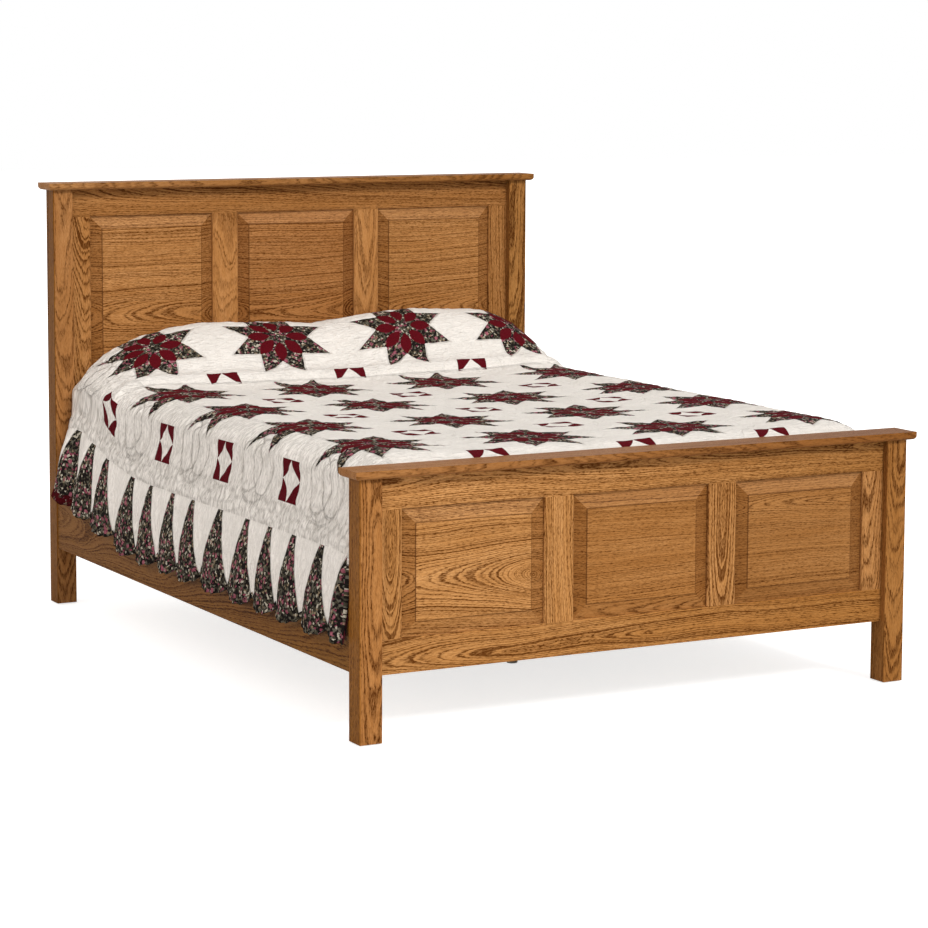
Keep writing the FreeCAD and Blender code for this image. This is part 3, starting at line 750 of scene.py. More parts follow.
def quiltedRelief(u, v):
    shape, sizes = quiltShape, stitchSizes
    relief = np.zeros_like(u)

    def stitch(name, distance, where):
        depth, width = grooves[name]
        relief[where] -= depth * hump(distance[where], 0.0, width)

    # ditch round each star, and rings round the small squares
    du = centred(u, shape["starPitchAcross"])
    dv = centred(v - shape["firstStarRow"], shape["starPitchAlong"], 0.5)
    angle = np.abs(np.mod(np.arctan2(dv, du) / (math.pi / 4), 1.0) - 0.5) * math.pi / 4
    onStar = (np.abs(u) < 0.86) & (v > -1.02) & (v < 1.16)
    stitch("star", starEdge(np.hypot(du, dv), angle), onStar)
    cu = centred(u, shape["starPitchAcross"], 0.5)
    cv = centred(v - shape["firstStarRow"], shape["starPitchAlong"])
    stitch("ring", np.hypot(cu, cv) - sizes["ring"], (np.abs(u) < 0.70) & (v > -1.0))

    # large rounds and the scrolled band on the drops
    side = np.abs(u)
    onDrop = (side > 0.74) & (side < 0.985)
    bigRound = np.hypot(side - sizes["bigMiddle"], dv)
    stitch("bigRound", bigRound - sizes["bigRound"], onDrop)
    for shift in (-sizes["lensShift"], sizes["lensShift"]):
        lens = np.hypot(side - sizes["bigMiddle"], dv - shift) - sizes["lens"]
        stitch("lens", lens, onDrop & (bigRound < 0.10))
    fromBand = side - sizes["band"]
    stitch("band", fromBand - sizes["bandSwing"] * np.sin(v / sizes["bandPitch"] * math.tau), onDrop)
    stitch("band", np.hypot(fromBand, centred(v, sizes["bandPitch"])) - sizes["bandRound"], onDrop)
    stitch("gore", side - shape["goreStart"], side > 0.9)

    # puffs between the stitches
    puff = 0.8 + 0.5 * smoothStep((side - 0.70) / 0.1) - 0.7 * smoothStep((side - 0.95) / 0.1)
    coarse, fine = softNoise(u / 0.060, v / 0.050, 5), softNoise(u / 0.048, v / 0.036, 6)
    return relief + puff * (puffHeights["coarse"] * coarse + puffHeights["fine"] * fine)


def layQuilt(s):
    # each crossing of threads: its place, its place on the flat cloth, and how far it stands out
    shape, look = quiltShape, hemLook
    reachAll, tuckRows = shape["halfWidth"], shape["tuckRows"]

    # rows along the bed, closer where the cloth rises
    ys = np.linspace(shape["footY"], shape["headY"], 4001)
    lengths = np.concatenate([[0.0], np.cumsum(np.hypot(np.diff(ys), np.diff(quiltTop(ys))))])
    rowY = np.interp(np.linspace(0, lengths[-1], shape["rows"] + 1), lengths, ys)
    x, y, z, u, v, out = np.zeros((6, shape["rows"] + tuckRows + 1, len(s)))
    hemCount = np.zeros(len(x))
    gore = goreIndex(rowY)
    side = np.abs(s)
    sideShare = smoothStep((side - 0.70) / 0.16)
    low = smoothStep((side - 0.98) / (reachAll - 0.98))
    flounce = smoothStep((side - 0.93) / (reachAll - 0.93)) ** 1.2
    atHem = smoothStep((side - 1.17) / 0.06)
    aside = starsAside(s, rowY) * (1 - smoothStep((side - 0.84) / 0.14))
    for j, place in enumerate(rowY.tolist()):
        curve, share = sectionCurve(place)
        off = abs((gore[j] + 0.5) % 1.0 - 0.5) * 2  # 0 in a gore's middle, 1 between two
        bow = math.sqrt(max(0.0, 1 - off**2))
        scallop = shape["scallop"] * (1 - bow * 0.9 - 0.1 * (1 - off))
        ruffle = math.sin(place / look["rufflePitch"] * math.tau)
        ruffle += 0.6 * math.sin(place / look["finePitch"] * math.tau)
        reach = side - scallop * low - look["drawnIn"] * (1.6 + ruffle) * atHem
        row = j + tuckRows
        x[row] = np.sign(s) * np.interp(reach / reachAll, share, curve[:, 0])
        y[row] = place
        z[row] = np.interp(reach / reachAll, share, curve[:, 1])
        u[row] = np.sign(s) * reach + aside[j]
        onTop = float(np.interp(place, topLay["place"], topLay["cloth"]))
        onDrop = float(np.interp(place, dropLay["place"], dropLay["cloth"]))
        v[row] = onTop * (1 - sideShare) + sideShare * onDrop
        flute = 0.65 * (2 * bow - 1) + 0.35 * math.cos(off * math.pi)
        hemWave = look["wave"] * atHem * math.sin(place / look["wavePitch"] * math.tau)
        out[row] = flounce * shape["flounce"] * flute + hemWave
        hemCount[row] = gore[j]
    # the foot end hangs down behind the footboard
    for j in range(tuckRows):
        row, drop = tuckRows - 1 - j, (j + 1) * shape["tuckStep"]
        x[row], u[row] = x[tuckRows], u[tuckRows]
        y[row] = shape["footY"] + 0.0015 * math.sin(j / 7)
        z[row] = z[tuckRows] - drop
        v[row] = v[tuckRows] - drop
    return x, y, z, u, v, out, hemCount


def foldQuilt(s, x, y, z, u, v, out):
    # folds and waves in the cloth; gives its upper and its under side
    look = foldLook
    side = np.abs(s)[None, :] * np.ones_like(x)
    waves = look["wave"] * softNoise(v / 0.30, u / 0.5, 11)
    waves = waves + look["ripple"] * softNoise(v / 0.14, u / 0.35, 12)
    atHead = smoothStep((y - 0.62) / 0.3) * smoothStep((side - 0.86) / 0.25)
    headFolds = look["headFold"] * np.sin((y - 0.62) / look["headPitch"] * math.tau) * atHead
    out += smoothStep((side - 0.80) / 0.35) * waves + headFolds
    turned = smoothStep((look["turnInStart"] - y) / look["turnInLength"])
    out -= look["turnIn"] * turned * smoothStep((side - 0.78) / 0.08)
    onTop = 1 - smoothStep((side - 0.68) / 0.1)
    lift = look["lift"] * softNoise(u / 0.33, v / 0.33, 13)
    lift = onTop * (lift + look["fineLift"] * softNoise(u / 0.12, v / 0.12, 14))
    relief = quiltedRelief(u, v)
    tuck = slice(0, quiltShape["tuckRows"])
    relief[tuck] *= 0.4
    out[tuck] = 0
    lift[tuck] = 0
    z += lift
    onPillow = pillowShare(y) * (1 - smoothStep((side - 0.80) / 0.1))
    fuller = look["pillowRight"] * np.clip(x / 0.40, -1, 1)
    z += onPillow * (fuller - look["pillowLeft"] * smoothStep((-x - 0.40) / 0.32))

    # the normals carry the relief and the folds
    grid = np.stack([x, y, z], axis=-1)
    normal = np.cross(np.gradient(grid, axis=1), np.gradient(grid, axis=0))
    normal /= np.linalg.norm(normal, axis=-1, keepdims=True) + 1e-12
    grid += normal * (relief + out)[..., None]
    thin = 1 - 0.55 * smoothStep((side / quiltShape["halfWidth"] - 0.985) / 0.015)
    return grid, grid - normal * (quiltShape["thickness"] * thin)[..., None]


def makeQuilt():
    shape = quiltShape
    columns, tuckRows, coarse = shape["columns"], shape["tuckRows"], shape["coarse"]
    rows = shape["rows"] + tuckRows
    reachAll = shape["halfWidth"]
    s = np.linspace(-reachAll, reachAll, columns + 1)
    x, y, z, u, v, out, hemCount = layQuilt(s)
    grid, under = foldQuilt(s, x, y, z, u, v, out)
    # the tuck is only as wide as the top
    left = round((reachAll - quiltSection["edge"]) / (2 * reachAll) * columns / coarse) * coarse
    right = columns - left

    build = bmesh.new()
    clothUv = build.loops.layers.uv.new("cloth")
    hemUv = build.loops.layers.uv.new("hem")
    upper = {}
    lower = {}
    for j in range(rows + 1):
        for i in range(columns + 1):
            if j >= tuckRows or left <= i <= right:
                upper[i, j] = build.verts.new(grid[j, i])
                if i % coarse == 0 and j % coarse == 0:
                    lower[i, j] = build.verts.new(under[j, i])

    def addFace(keys, top, material):
        face = build.faces.new([(upper if isUp else lower)[key] for key, isUp in zip(keys, top)])
        face.material_index = material
        face.smooth = True
        for loop, (i, j), isUp in zip(face.loops, keys, top):
            turned = 0.0 if isUp or material == 1 else shape["thickness"]
            loop[clothUv].uv = (u[j, i] + math.copysign(turned, u[j, i]), v[j, i] - turned)
            loop[hemUv].uv = (reachAll - abs(s[i]), hemCount[j])

    def addSheet(corners, step, isUp, material):
        for j in range(0, rows, step):
            for i in range(0, columns, step):
                keys = [(i + across * step, j + along * step) for across, along in corners]
                if j >= tuckRows or left <= i < right:
                    addFace(keys, (isUp,) * 4, material)

    addSheet(((0, 0), (1, 0), (1, 1), (0, 1)), 1, True, 0)
    addSheet(((0, 0), (0, 1), (1, 1), (1, 0)), coarse, False, 1)

    # the edge joins the cloth to its coarser lining
    corners = [
        (left, 0), (right, 0), (right, tuckRows), (columns, tuckRows),
        (columns, rows), (0, rows), (0, tuckRows), (left, tuckRows),
    ]
    border = []
    for (i0, j0), (i1, j1) in zip(corners, corners[1:] + corners[:1]):
        steps = max(abs(i1 - i0), abs(j1 - j0))
        border += [(i0 + (i1 - i0) * k // steps, j0 + (j1 - j0) * k // steps) for k in range(steps)]
    for k in range(0, len(border), coarse):
        a, b, c, d = [border[(k + n) % len(border)] for n in range(4)]
        addFace((a, b, a), (False, True, True), 0)
        addFace((a, c, b), (False, True, True), 0)
        addFace((d, c, a), (False, True, False), 0)
        addFace((d, d, c), (False, True, True), 0)
    return finishMesh("quilt_cover", build)


quiltPiece = makeQuilt()
print("quilt shaped:", len(quiltPiece.data.polygons), "faces")
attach(quiltPiece, "bed")
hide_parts("quilt")

# ---- the quilt's cloth

clothColours = {
    "cream": (0.97, 0.915, 0.85),
    "creamShade": (0.76, 0.717, 0.66),
    "creamDeep": (0.24, 0.215, 0.18),
    "burgundy": (0.082, 0.0025, 0.006),
    "burgundyLight": (0.118, 0.004, 0.009),
    "burgundyDeep": (0.055, 0.002, 0.004),
    "printDark": (0.012, 0.009, 0.008),
    "printGreen": (0.060, 0.052, 0.035),
    "printGrey": (0.125, 0.115, 0.088),
    "printCream": (0.50, 0.45, 0.36),
    "printTan": (0.26, 0.19, 0.12),
    "printPink": (0.24, 0.055, 0.085),
    "printRose": (0.38, 0.13, 0.16),
}
# the flower print's flecks: from which share of the cells on each colour is used
fleckShares = {
    "printDark": 0.0,
    "printGreen": 0.34,
    "printGrey": 0.56,
    "printBlack": 0.70,
    "printTan": 0.82,
    "printPink": 0.87,
    "printCream": 0.915,
}
patchLook = {
    "blur": 0.0006,
    "topEdge": 0.862,  # the stars end here, across and along the cloth
    "footEdge": 1.016,
    "headEdge": 1.158,
    "squareHalf": 0.052,
    "squarePower": 0.78,  # below 1 the cream diamond's sides are hollow
    "squareOnDrop": 0.880,
    "goreTip": 0.0125,
    "goreWidening": 0.0665,
    "binding": 0.014,
    "rolledHem": 0.030,
    "threads": 900.0,
    "pebbles": 33.0,
    "creases": (18.0, 62.0),
    "bumpDepth": 0.0045,
    "foldShade": 0.09,  # and what the drop and the gores add to it
    "dropFoldShade": 0.29,
    "goreFoldShade": -0.20,
    "seamShade": 0.05,
    "dropSeamShade": 0.22,
}


def voronoiOf(place, scale, feature="F1"):
    node = addNode(place.tree, "TexVoronoi", voronoi_dimensions="2D", feature=feature)
    feedAll(node.inputs, {"Vector": place, "Scale": scale})
    return node.outputs


def makePrintGroup():
    group, given, made = newGroup("flowerPrint", {"Vector": None}, {"Color": "Color"})
    c = clothColours
    warp = addNode(group, "VectorMath", operation="MULTIPLY_ADD")
    ragged = noiseOf(given["Vector"], 110.0)[1]
    feedAll(warp.inputs, {0: ragged, 1: (0.009, 0.009, 0.0), 2: given["Vector"]})
    place = outputsOf(warp)[0]
    pick = partsOf(Signal(voronoiOf(place, 185.0)["Color"]), "SeparateColor")
    stops = [(share, c.get(name, c["printDark"])) for name, share in fleckShares.items()]
    flecks = ramp(pick[0], stops, constant=True)

    # a rose in every other large cell
    roses = voronoiOf(place, 40.0)
    isRose = calc("GREATER_THAN", partsOf(Signal(roses["Color"]), "SeparateColor")[1], 0.52)
    petal = isRose * spread(Signal(roses["Distance"]), 0.30, 0.22)
    heart = isRose * spread(Signal(roses["Distance"]), 0.15, 0.08)
    petals = mixed(pick[1], c["printPink"], c["printRose"])
    colour = mixed(petal * calc("GREATER_THAN", pick[2], 0.35), flecks, petals)
    feed(made["Color"], mixed(heart * 0.5, colour, c["printRose"]))
    return group


def makeWeaveGroup():
    inputs = {"Vector": None, "Threads": 900.0}
    group, given, made = newGroup("plainWeave", inputs, {"Height": "Float", "Shade": "Float"})
    u, v, _ = partsOf(given["Vector"])
    waves = calc("SINE", u * (given["Threads"] * math.tau)) * calc("SINE", v * (given["Threads"] * math.tau))
    slub = noiseOf(given["Vector"], 320.0, 3.0)[0]
    feed(made["Height"], timesPlus(waves, 0.5, 0.5) * 0.6 + slub * 0.4)
    feed(made["Shade"], spread(slub, 0.3, 0.7))
    return group


printGroup = makePrintGroup()
weaveGroup = makeWeaveGroup()


def below(value, limit):
    return spread(value, limit + patchLook["blur"], limit - patchLook["blur"])


def above(value, limit):
    return calc("GREATER_THAN", value, limit)


def stitchLine(distance, width):
    return spread(abs(distance), 0.0, width, -1.0, 0.0, smooth=True)


def repeated(value, pitch, shift):
    # from the middle of the repeat that a place lies in
    return (calc("FRACT", value / pitch + shift) - 0.5) * pitch


def makeQuiltCloth():
    shape, star, look, sizes, c = quiltShape, starSizes, patchLook, stitchSizes, clothColours
    material, tree, shader = newMaterial("patchworkCotton")
    cloth = outputsOf(addNode(tree, "UVMap", uv_map="cloth"))[0]
    u, v, _ = partsOf(cloth)
    hemDistance, goreCount, _ = partsOf(outputsOf(addNode(tree, "UVMap", uv_map="hem"))[0])
    sideU = abs(u)

    # the stars, with the angle folded onto half a point
    rowShift = 0.5 - shape["firstStarRow"] / shape["starPitchAlong"]
    du = repeated(u, shape["starPitchAcross"], 0.0)
    dv = repeated(v, shape["starPitchAlong"], rowShift)
    radius = distanceOf(du, dv)
    turn = calc("ARCTAN2", dv, du) / (math.pi / 4)
    angle = abs(calc("FRACT", turn + 8.0) - 0.5) * (math.pi / 4)
    starX, starY = radius * calc("COSINE", angle), radius * calc("SINE", angle)
    nx, ny = star["notch"] * math.cos(math.pi / 8), star["notch"] * math.sin(math.pi / 8)
    size = math.hypot(ny, nx - star["tip"])
    edge = (starX - star["tip"]) * (ny / size) + starY * ((star["tip"] - nx) / size)
    onTop = below(sideU, look["topEdge"]) * below(v * -1.0, look["footEdge"]) * below(v, look["headEdge"])
    starMask = below(edge, 0.0) * onTop
    # petals point at the notches
    other = math.pi / 8 - angle
    petalX, petalY = radius * calc("COSINE", other), radius * calc("SINE", other)
    reach = (petalX - star["petalMiddle"]) / star["petalLong"]
    petalMask = below((reach * reach + abs(petalY) / star["petalWide"]) * 0.02, 0.02) * onTop

    # burgundy squares with a concave cream diamond
    half = look["squareHalf"]
    cu = repeated(u, shape["starPitchAcross"], 0.5)
    cv = repeated(v, shape["starPitchAlong"], rowShift - 0.5)
    onSide = above(sideU, 0.70)
    au = abs(cu * (1.0 - onSide) + (sideU - look["squareOnDrop"]) * onSide)
    av = abs(cv)
    inSquare = below(au, half) * below(av, half) * below(sideU, 0.96) * below(v, 0.95)
    diamond = (au / half) ** look["squarePower"] + (av / half) ** look["squarePower"]
    squareMask = inSquare * (1.0 - below(diamond * 0.03, 0.0302))

    # the gores along the drop, and the binding
    goreDown = spread(sideU, shape["goreStart"], shape["halfWidth"] - 0.02)
    goreHalf = timesPlus(goreDown**1.05, look["goreWidening"], look["goreTip"])
    goreEdge = abs(repeated(goreCount, 1.0, 0.5)) * shape["gorePitch"] - goreHalf
    onGores = below(sideU * -1.0, -shape["goreStart"])
    binding = below(hemDistance, look["binding"]) * above(sideU, 0.9)
    goreMask = calc("MAXIMUM", below(goreEdge, 0.0) * onGores, binding)
    # at the head end the hem rolls outward and shows the lining
    rolled = below(hemDistance, look["rolledHem"]) * spread(v, 0.885, 0.895) * above(sideU, 1.0)

    weaveHeight, weaveShade = placeGroup(tree, weaveGroup, {"Vector": cloth, "Threads": look["threads"]})
    flowers = placeGroup(tree, printGroup, {"Vector": cloth})[0]
    wear = spread(noiseOf(cloth, 9.0, 3.0)[0], 0.3, 0.7, 0.0, 0.3)
    # painted shade: the top is mixed 0.52 of the way towards creamShade, fading out down the drops, and
    # random wear adds to it everywhere
    topShadeAndWear = calc("ADD", spread(sideU, 0.70, 0.85, 0.52, 0.0), wear, clamp=True)
    cream = mixed(topShadeAndWear, c["cream"], c["creamShade"])
    burgundy = mixed(weaveShade, c["burgundy"], c["burgundyLight"])

    # stitched lines and puckers
    onBig = above(sideU, 0.72)
    bigSide = sideU - sizes["bigMiddle"]
    bigRound = distanceOf(bigSide, dv)
    lines = stitchLine(edge, 0.006) * onTop
    lines = lines + stitchLine(distanceOf(cu, cv) - sizes["ring"], 0.005) * ((1.0 - onBig) * 0.3)
    lines = lines + stitchLine(bigRound - sizes["bigRound"], 0.006) * onBig
    inBig = below(bigRound, sizes["bigRound"]) * onBig
    for shift in (-sizes["lensShift"], sizes["lensShift"]):
        lines = lines + stitchLine(distanceOf(bigSide, dv + shift) - sizes["lens"], 0.005) * inBig
    lines = lines + stitchLine(goreEdge, 0.004) * onGores
    pebbles = Signal(voronoiOf(cloth, look["pebbles"], "DISTANCE_TO_EDGE")["Distance"])
    inBand = spread(sideU, 0.90, 0.94) * spread(sideU, shape["goreStart"], shape["goreStart"] - 0.004)
    lines = lines + spread(pebbles, 0.0, 0.26, -0.8, 0.0, smooth=True) * inBand
    across, along = look["creases"]
    creases = abs(noiseOf(vectorOf(u * across, v * along), 1.0, 3.0, 0.6)[0] - 0.5)
    pucker = noiseOf(cloth, 60.0, 3.0, 0.6)[0]
    height = timesPlus(creases, 4.5, timesPlus(pucker, 2.0, lines)) + weaveHeight * 0.08
    addBump(shader, height, 1.0, look["bumpDepth"])

    # folds and stitched lines hold some shade, less so on the stretched top
    folds = spread(creases, 0.075, 0.0)
    foldShade = timesPlus(onGores, look["goreFoldShade"], look["foldShade"])
    folds = folds * timesPlus(onBig, look["dropFoldShade"], foldShade)
    seams = calc("MULTIPLY", lines, -1.0, clamp=True)
    seams = seams * timesPlus(onBig, look["dropSeamShade"], look["seamShade"])
    cream = mixed(calc("ADD", folds, seams, clamp=True), cream, c["creamDeep"])
    colour = mixed(calc("MAXIMUM", starMask, goreMask), cream, flowers)
    colour = mixed(calc("MAXIMUM", petalMask, squareMask), colour, burgundy)
    colour = mixed(rolled * spread(pucker, 0.40, 0.48, 0.3, 1.0), colour, c["burgundyDeep"])
    feedAll(shader, {"Base Color": colour, "Roughness": 0.88, "Specular IOR Level": 0.05})
    return material


def makeLining():
    material, tree, shader = newMaterial("liningCotton")
    cloth = outputsOf(addNode(tree, "UVMap", uv_map="cloth"))[0]
    values = {"Vector": cloth, "Threads": patchLook["threads"]}
    height, shade = placeGroup(tree, weaveGroup, values)
    colour = mixed(shade, clothColours["burgundy"], clothColours["burgundyLight"])
    feedAll(shader, {"Base Color": colour, "Roughness": 0.9})
    addBump(shader, height, 0.3, 0.0006)
    return material


quiltPiece.data.materials.append(makeQuiltCloth())
quiltPiece.data.materials.append(makeLining())
print("quilt dressed")

# ---- mattress, box spring and pillows

blockLooks = {
    "mattress": dict(
        edge=0.030, crown=0.006, drawnIn=0.006, tuft=0.005, pitch=0.130, tape=0.005, fill=0.95,
    ),
    "box_spring": dict(
        edge=0.014, crown=0.002, drawnIn=0.003, tuft=0.0015, pitch=0.260, tape=0.004, fill=1.0,
    ),
}
blockCorner = 0.06
pillowLook = {"voxel": 0.008, "creaseReach": 0.16, "creases": 14, "piping": 0.0025, "fill": 0.7}


def ringPoints(halfX, halfY, radius, count=336):
    # a rounded rectangle, evenly spaced
    outline = []
    for quarter, (signX, signY) in enumerate(((1, 1), (-1, 1), (-1, -1), (1, -1))):
        for a in np.linspace(0, math.pi / 2, 13) + quarter * math.pi / 2:
            cx, cy = signX * (halfX - radius), signY * (halfY - radius)
            outline.append((cx + radius * math.cos(a), cy + radius * math.sin(a)))
    outline = np.array(outline + outline[:1])
    along = np.concatenate([[0.0], np.cumsum(np.hypot(*np.diff(outline, axis=0).T))])
    at = np.linspace(0, along[-1], count, endpoint=False)
    return np.stack([np.interp(at, along, outline[:, 0]), np.interp(at, along, outline[:, 1])], axis=1)


def meshFrom(name, rings, closedAcross=False):
    # rings of points skinned into one closed surface
    count = len(rings[0])
    build = bmesh.new()
    loops = [[build.verts.new(point) for point in ring] for ring in rings]
    pairs = list(zip(loops, loops[1:])) + ([(loops[-1], loops[0])] if closedAcross else [])
    for first, second in pairs:
        for k in range(count):
            ahead = (k + 1) % count
            build.faces.new((first[k], first[ahead], second[ahead], second[k]))
    if not closedAcross:
        build.faces.new(loops[0][::-1])
        build.faces.new(loops[-1])
    for face in build.faces:
        face.smooth = True
    return finishMesh(name, build)


def makeTape(name, path, radius):
    # a round cord along a closed path
    ahead = np.roll(path, -1, axis=0) - np.roll(path, 1, axis=0)
    ahead /= np.linalg.norm(ahead, axis=1, keepdims=True)
    out = np.cross(ahead, (0.0, 0.0, 1.0))
    out /= np.linalg.norm(out, axis=1, keepdims=True)
    up = np.cross(out, ahead)
    turns = [k / 10 * math.tau for k in range(10)]
    rings = [path + radius * (math.cos(a) * out + math.sin(a) * up) for a in turns]
    return meshFrom(name, rings, closedAcross=True)


def makeBlock(node):
    look = blockLooks[node]
    edge = look["edge"]
    low, high = (np.array(corner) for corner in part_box(node))
    halfX, halfY = (high[0] - low[0]) / 2 - 0.002, (high[1] - low[1]) / 2 - 0.002
    middle = (low + high) / 2
    outline = ringPoints(halfX, halfY, blockCorner)
    topZ, bottomZ = high[2] - 0.0005, low[2] + 0.0005
    upper, lower = topZ - look["crown"], bottomZ + look["crown"]

    def drawn(inset):
        return outline * (1 - inset / halfX, 1 - inset / halfY)

    def ring(inset, z):
        return np.column_stack([drawn(inset), np.full(len(outline), z)])

    def tuft(points):
        a = (points[:, 0] + points[:, 1]) / look["pitch"] * math.pi
        b = (points[:, 0] - points[:, 1]) / look["pitch"] * math.pi
        return look["tuft"] * (hump(np.sin(a), 0.0, 0.22) + hump(np.sin(b), 0.0, 0.22)) / 2

    def flatRings(z, sign):
        rings = []
        for share in np.concatenate([[0.01], np.linspace(0.04, 1.0, 34)]):
            points = drawn(edge) * share
            drop = look["crown"] * share**4 + tuft(points) * float(smoothStep((1 - share) / 0.08))
            rings.append(np.column_stack([points, np.full(len(points), z) - sign * drop]))
        return rings

    turns = np.linspace(0, math.pi / 2, 6)
    rings = flatRings(topZ, 1)
    rings += [ring(edge * (1 - math.sin(a)), upper - edge * (1 - math.cos(a))) for a in turns[1:]]
    for share in np.linspace(0, 1, 11)[1:-1]:
        waist = math.sin(share * math.pi) ** 0.5 * (1 + 0.4 * math.cos(share * 3 * math.tau))
        rings.append(ring(look["drawnIn"] * waist, (upper - edge) * (1 - share) + (lower + edge) * share))
    rings += [ring(edge * (1 - math.sin(a)), lower + edge * (1 - math.cos(a))) for a in turns[:0:-1]]
    rings += flatRings(bottomZ, -1)[::-1]
    aside = (middle[0], middle[1], 0)
    piece = meshFrom(node + "_pad", [points + aside for points in rings])

    # tape sewn along both edges
    tapes = []
    for label, z in (("top", upper - edge * 0.3), ("bottom", lower + edge * 0.3)):
        tapes.append(makeTape(f"{node}_{label}_tape", ring(edge * 0.3, z) + aside, look["tape"]))
    return piece, tapes


def makePillow(node):
    look = pillowLook
    piece = addObject(node + "_pad", nodes[node].data.copy())
    piece.data.materials.clear()
    bpy.ops.object.select_all(action="DESELECT")
    bpy.context.view_layer.objects.active = piece
    piece.select_set(True)
    remesh = piece.modifiers.new("remesh", "REMESH")
    remesh.mode = "VOXEL"
    remesh.voxel_size = look["voxel"]
    soften = piece.modifiers.new("soften", "SMOOTH")
    soften.factor = 0.5
    soften.iterations = 6
    bpy.ops.object.modifier_apply(modifier="remesh")
    bpy.ops.object.modifier_apply(modifier="soften")

    # wrinkles that run out from the corners
    low, high = (np.array(corner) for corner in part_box(node))
    mesh = piece.data
    points = np.empty(len(mesh.vertices) * 3)
    mesh.vertices.foreach_get("co", points)
    points = points.reshape(-1, 3)
    normals = np.array([vertex.normal[:] for vertex in mesh.vertices])
    creases = np.zeros(len(points))
    for cx in (low[0], high[0]):
        for cy in (low[1], high[1]):
            dx, dy = points[:, 0] - cx, points[:, 1] - cy
            near = hump(np.hypot(dx, dy), 0.0, look["creaseReach"])
            creases += near * np.sin(np.arctan2(dy, dx) * look["creases"])
    dents = softNoise(points[:, 0] / 0.09, points[:, 1] / 0.07, 21)
    points += normals * (0.0008 + 0.0016 * creases + 0.0012 * dents)[:, None]
    points[:, 2] = np.maximum(points[:, 2], low[2])
    mesh.vertices.foreach_set("co", points.ravel())
    mesh.polygons.foreach_set("use_smooth", [True] * len(mesh.polygons))
    mesh.update()

    # the seam's cord follows the pillow's widest line
    middle = (low + high) / 2
    angles = np.arctan2(points[:, 1] - middle[1], points[:, 0] - middle[0])
    seam = []
    for a in np.linspace(-math.pi, math.pi, 120, endpoint=False):
        close = np.abs(np.angle(np.exp(1j * (angles - a)))) < 0.035
        rim = points[close & (points[:, 2] < low[2] + 0.05)]
        seam.append(rim[np.argmax(np.hypot(*(rim - middle)[:, :2].T))])
    seam = np.array(seam)
    for _ in range(3):
        seam = (np.roll(seam, 1, axis=0) + 2 * seam + np.roll(seam, -1, axis=0)) / 4
    seam[:, 2] = np.maximum(seam[:, 2], low[2] + 0.004)
    return piece, [makeTape(node + "_piping", seam, look["piping"])]


def makeTicking(name, ground, stripe, stripeWidth):
    material, tree, shader = newMaterial(name)
    place = objectPlace(tree)
    x, y, z = partsOf(place)
    wave = calc("SINE", (x + z) * (math.tau / stripeWidth))
    height, shade = placeGroup(tree, weaveGroup, {"Vector": vectorOf(x + z, y + z), "Threads": 600.0})
    wear = mixed(spread(noiseOf(place, 6.0, 3.0)[0], 0.3, 0.7, 0.0, 0.25), ground, stripe)
    colour = mixed(spread(wave, 0.86, 0.9) * timesPlus(shade, 0.4, 0.6), wear, stripe)
    feedAll(shader, {"Base Color": colour, "Roughness": spread(shade, 0.0, 1.0, 0.8, 0.95)})
    feed(shader["Specular IOR Level"], 0.1)
    addBump(shader, height, 0.3, 0.0008)
    return material


ticking = makeTicking("wovenTicking", (0.74, 0.71, 0.64), (0.55, 0.56, 0.55), 0.024)
pillowCotton = makeTicking("pillowCotton", (0.78, 0.77, 0.73), (0.71, 0.71, 0.68), 0.012)
tapeCloth = makeTicking("tapeCloth", (0.60, 0.58, 0.52), (0.50, 0.49, 0.46), 0.006)
for node in ("box_spring", "mattress", "left_pillow", "right_pillow"):
    isPillow = "pillow" in node
    pad, cords = makePillow(node) if isPillow else makeBlock(node)
    for piece in [pad] + cords:
        cover = ticking if piece == pad else tapeCloth
        piece.data.materials.append(pillowCotton if isPillow else cover)
        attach(piece, "bed")
    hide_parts(node)
print("bedding made")

# ---- floor, light and camera

floorLook = {"colour": 0.75, "cloud": 0.02, "lift": 0.70}  # the lift brings the floor up to white
lightSetup = {
    "toKey": (0.14, -0.80, 0.64),
    "key": 1.88,
    "keyAngle": 13.0,
    "keyColour": (1.0, 1.0, 1.0),
    "toFill": (-0.80, -0.25, 0.45),
    "fill": 0.45,
    "fillAngle": 50.0,
    "fillColour": (1.0, 0.80, 0.66),
    "ambient": 0.72,
}
cameraSetup = {
    "place": (-4.0756, -7.6278, 1.7623),
    "turn": (1.64477, -0.41274, 0.37472),
    "lens": 115.17,
    "shiftY": -0.1002,
}


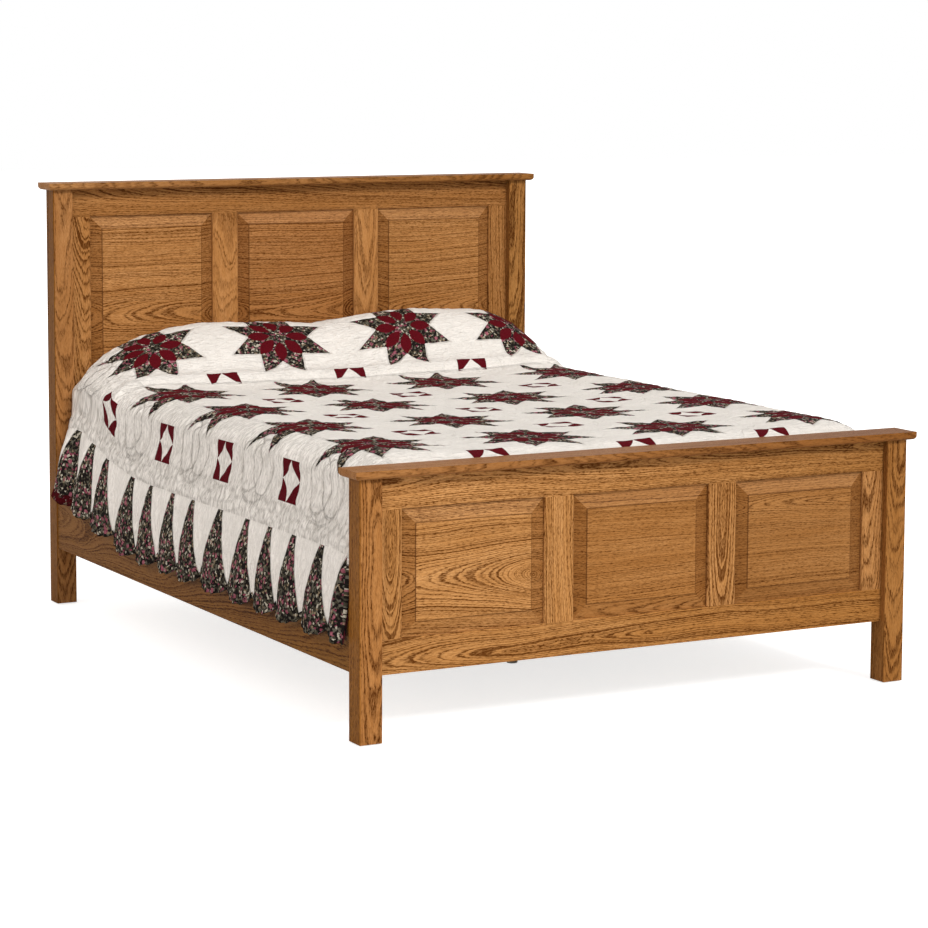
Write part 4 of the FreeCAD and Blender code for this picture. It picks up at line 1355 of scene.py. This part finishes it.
def makeFloor():
    bpy.ops.mesh.primitive_plane_add(size=60.0, location=(0, 0, 0))
    floor = bpy.context.object
    floor.name = "floor"
    bpy.ops.object.transform_apply(location=True, rotation=True, scale=True)
    material, tree, shader = newMaterial("paleFloor")
    pale, cloud = floorLook["colour"], floorLook["cloud"]
    colour = ramp(noiseOf(objectPlace(tree), 0.6)[0], [(0.3, grey(pale)), (0.7, grey(pale + cloud))])
    feedAll(shader, {"Base Color": colour, "Roughness": 0.95, "Specular IOR Level": 0.0})
    seen = Signal(addNode(tree, "LightPath").outputs["Is Camera Ray"])
    feedAll(shader, {"Emission Color": grey(1.0), "Emission Strength": seen * floorLook["lift"]})
    floor.data.materials.append(material)


def makeSun(name):
    sun = bpy.data.lights.new(name, "SUN")
    sun.energy = lightSetup[name]
    sun.angle = math.radians(lightSetup[name + "Angle"])
    sun.color = lightSetup[name + "Colour"]
    lamp = addObject(name, sun)
    toward = Vector(lightSetup["to" + capital(name)])
    lamp.location = toward * 8
    lamp.rotation_euler = toward.to_track_quat("Z", "Y").to_euler()


def makeRoom():
    world = bpy.data.worlds.new("studio")
    world.use_nodes = True
    background = world.node_tree.nodes["Background"].inputs
    seen = Signal(addNode(world.node_tree, "LightPath").outputs["Is Camera Ray"])
    feedAll(background, {"Color": grey(1.0), "Strength": spread(seen, 0.0, 1.0, lightSetup["ambient"], 1.0)})
    bpy.context.scene.world = world
    bpy.context.scene.view_settings.view_transform = "Standard"


def makeCamera():
    turn = Vector(cameraSetup["turn"])
    world = Matrix.Rotation(turn.length, 3, turn.normalized())
    axes = Matrix((world[0], -world[1], -world[2])).transposed()
    camera = bpy.data.cameras.new("camera")
    camera.lens = cameraSetup["lens"]
    camera.sensor_width = 36.0
    camera.shift_y = cameraSetup["shiftY"]
    camera.clip_end = 200.0
    viewer = addObject("camera", camera)
    viewer.matrix_world = Matrix.Translation(Vector(cameraSetup["place"])) @ axes.to_4x4()
    bpy.context.scene.camera = viewer


makeFloor()
makeSun("key")
makeSun("fill")
makeRoom()
makeCamera()
print("stage ready")
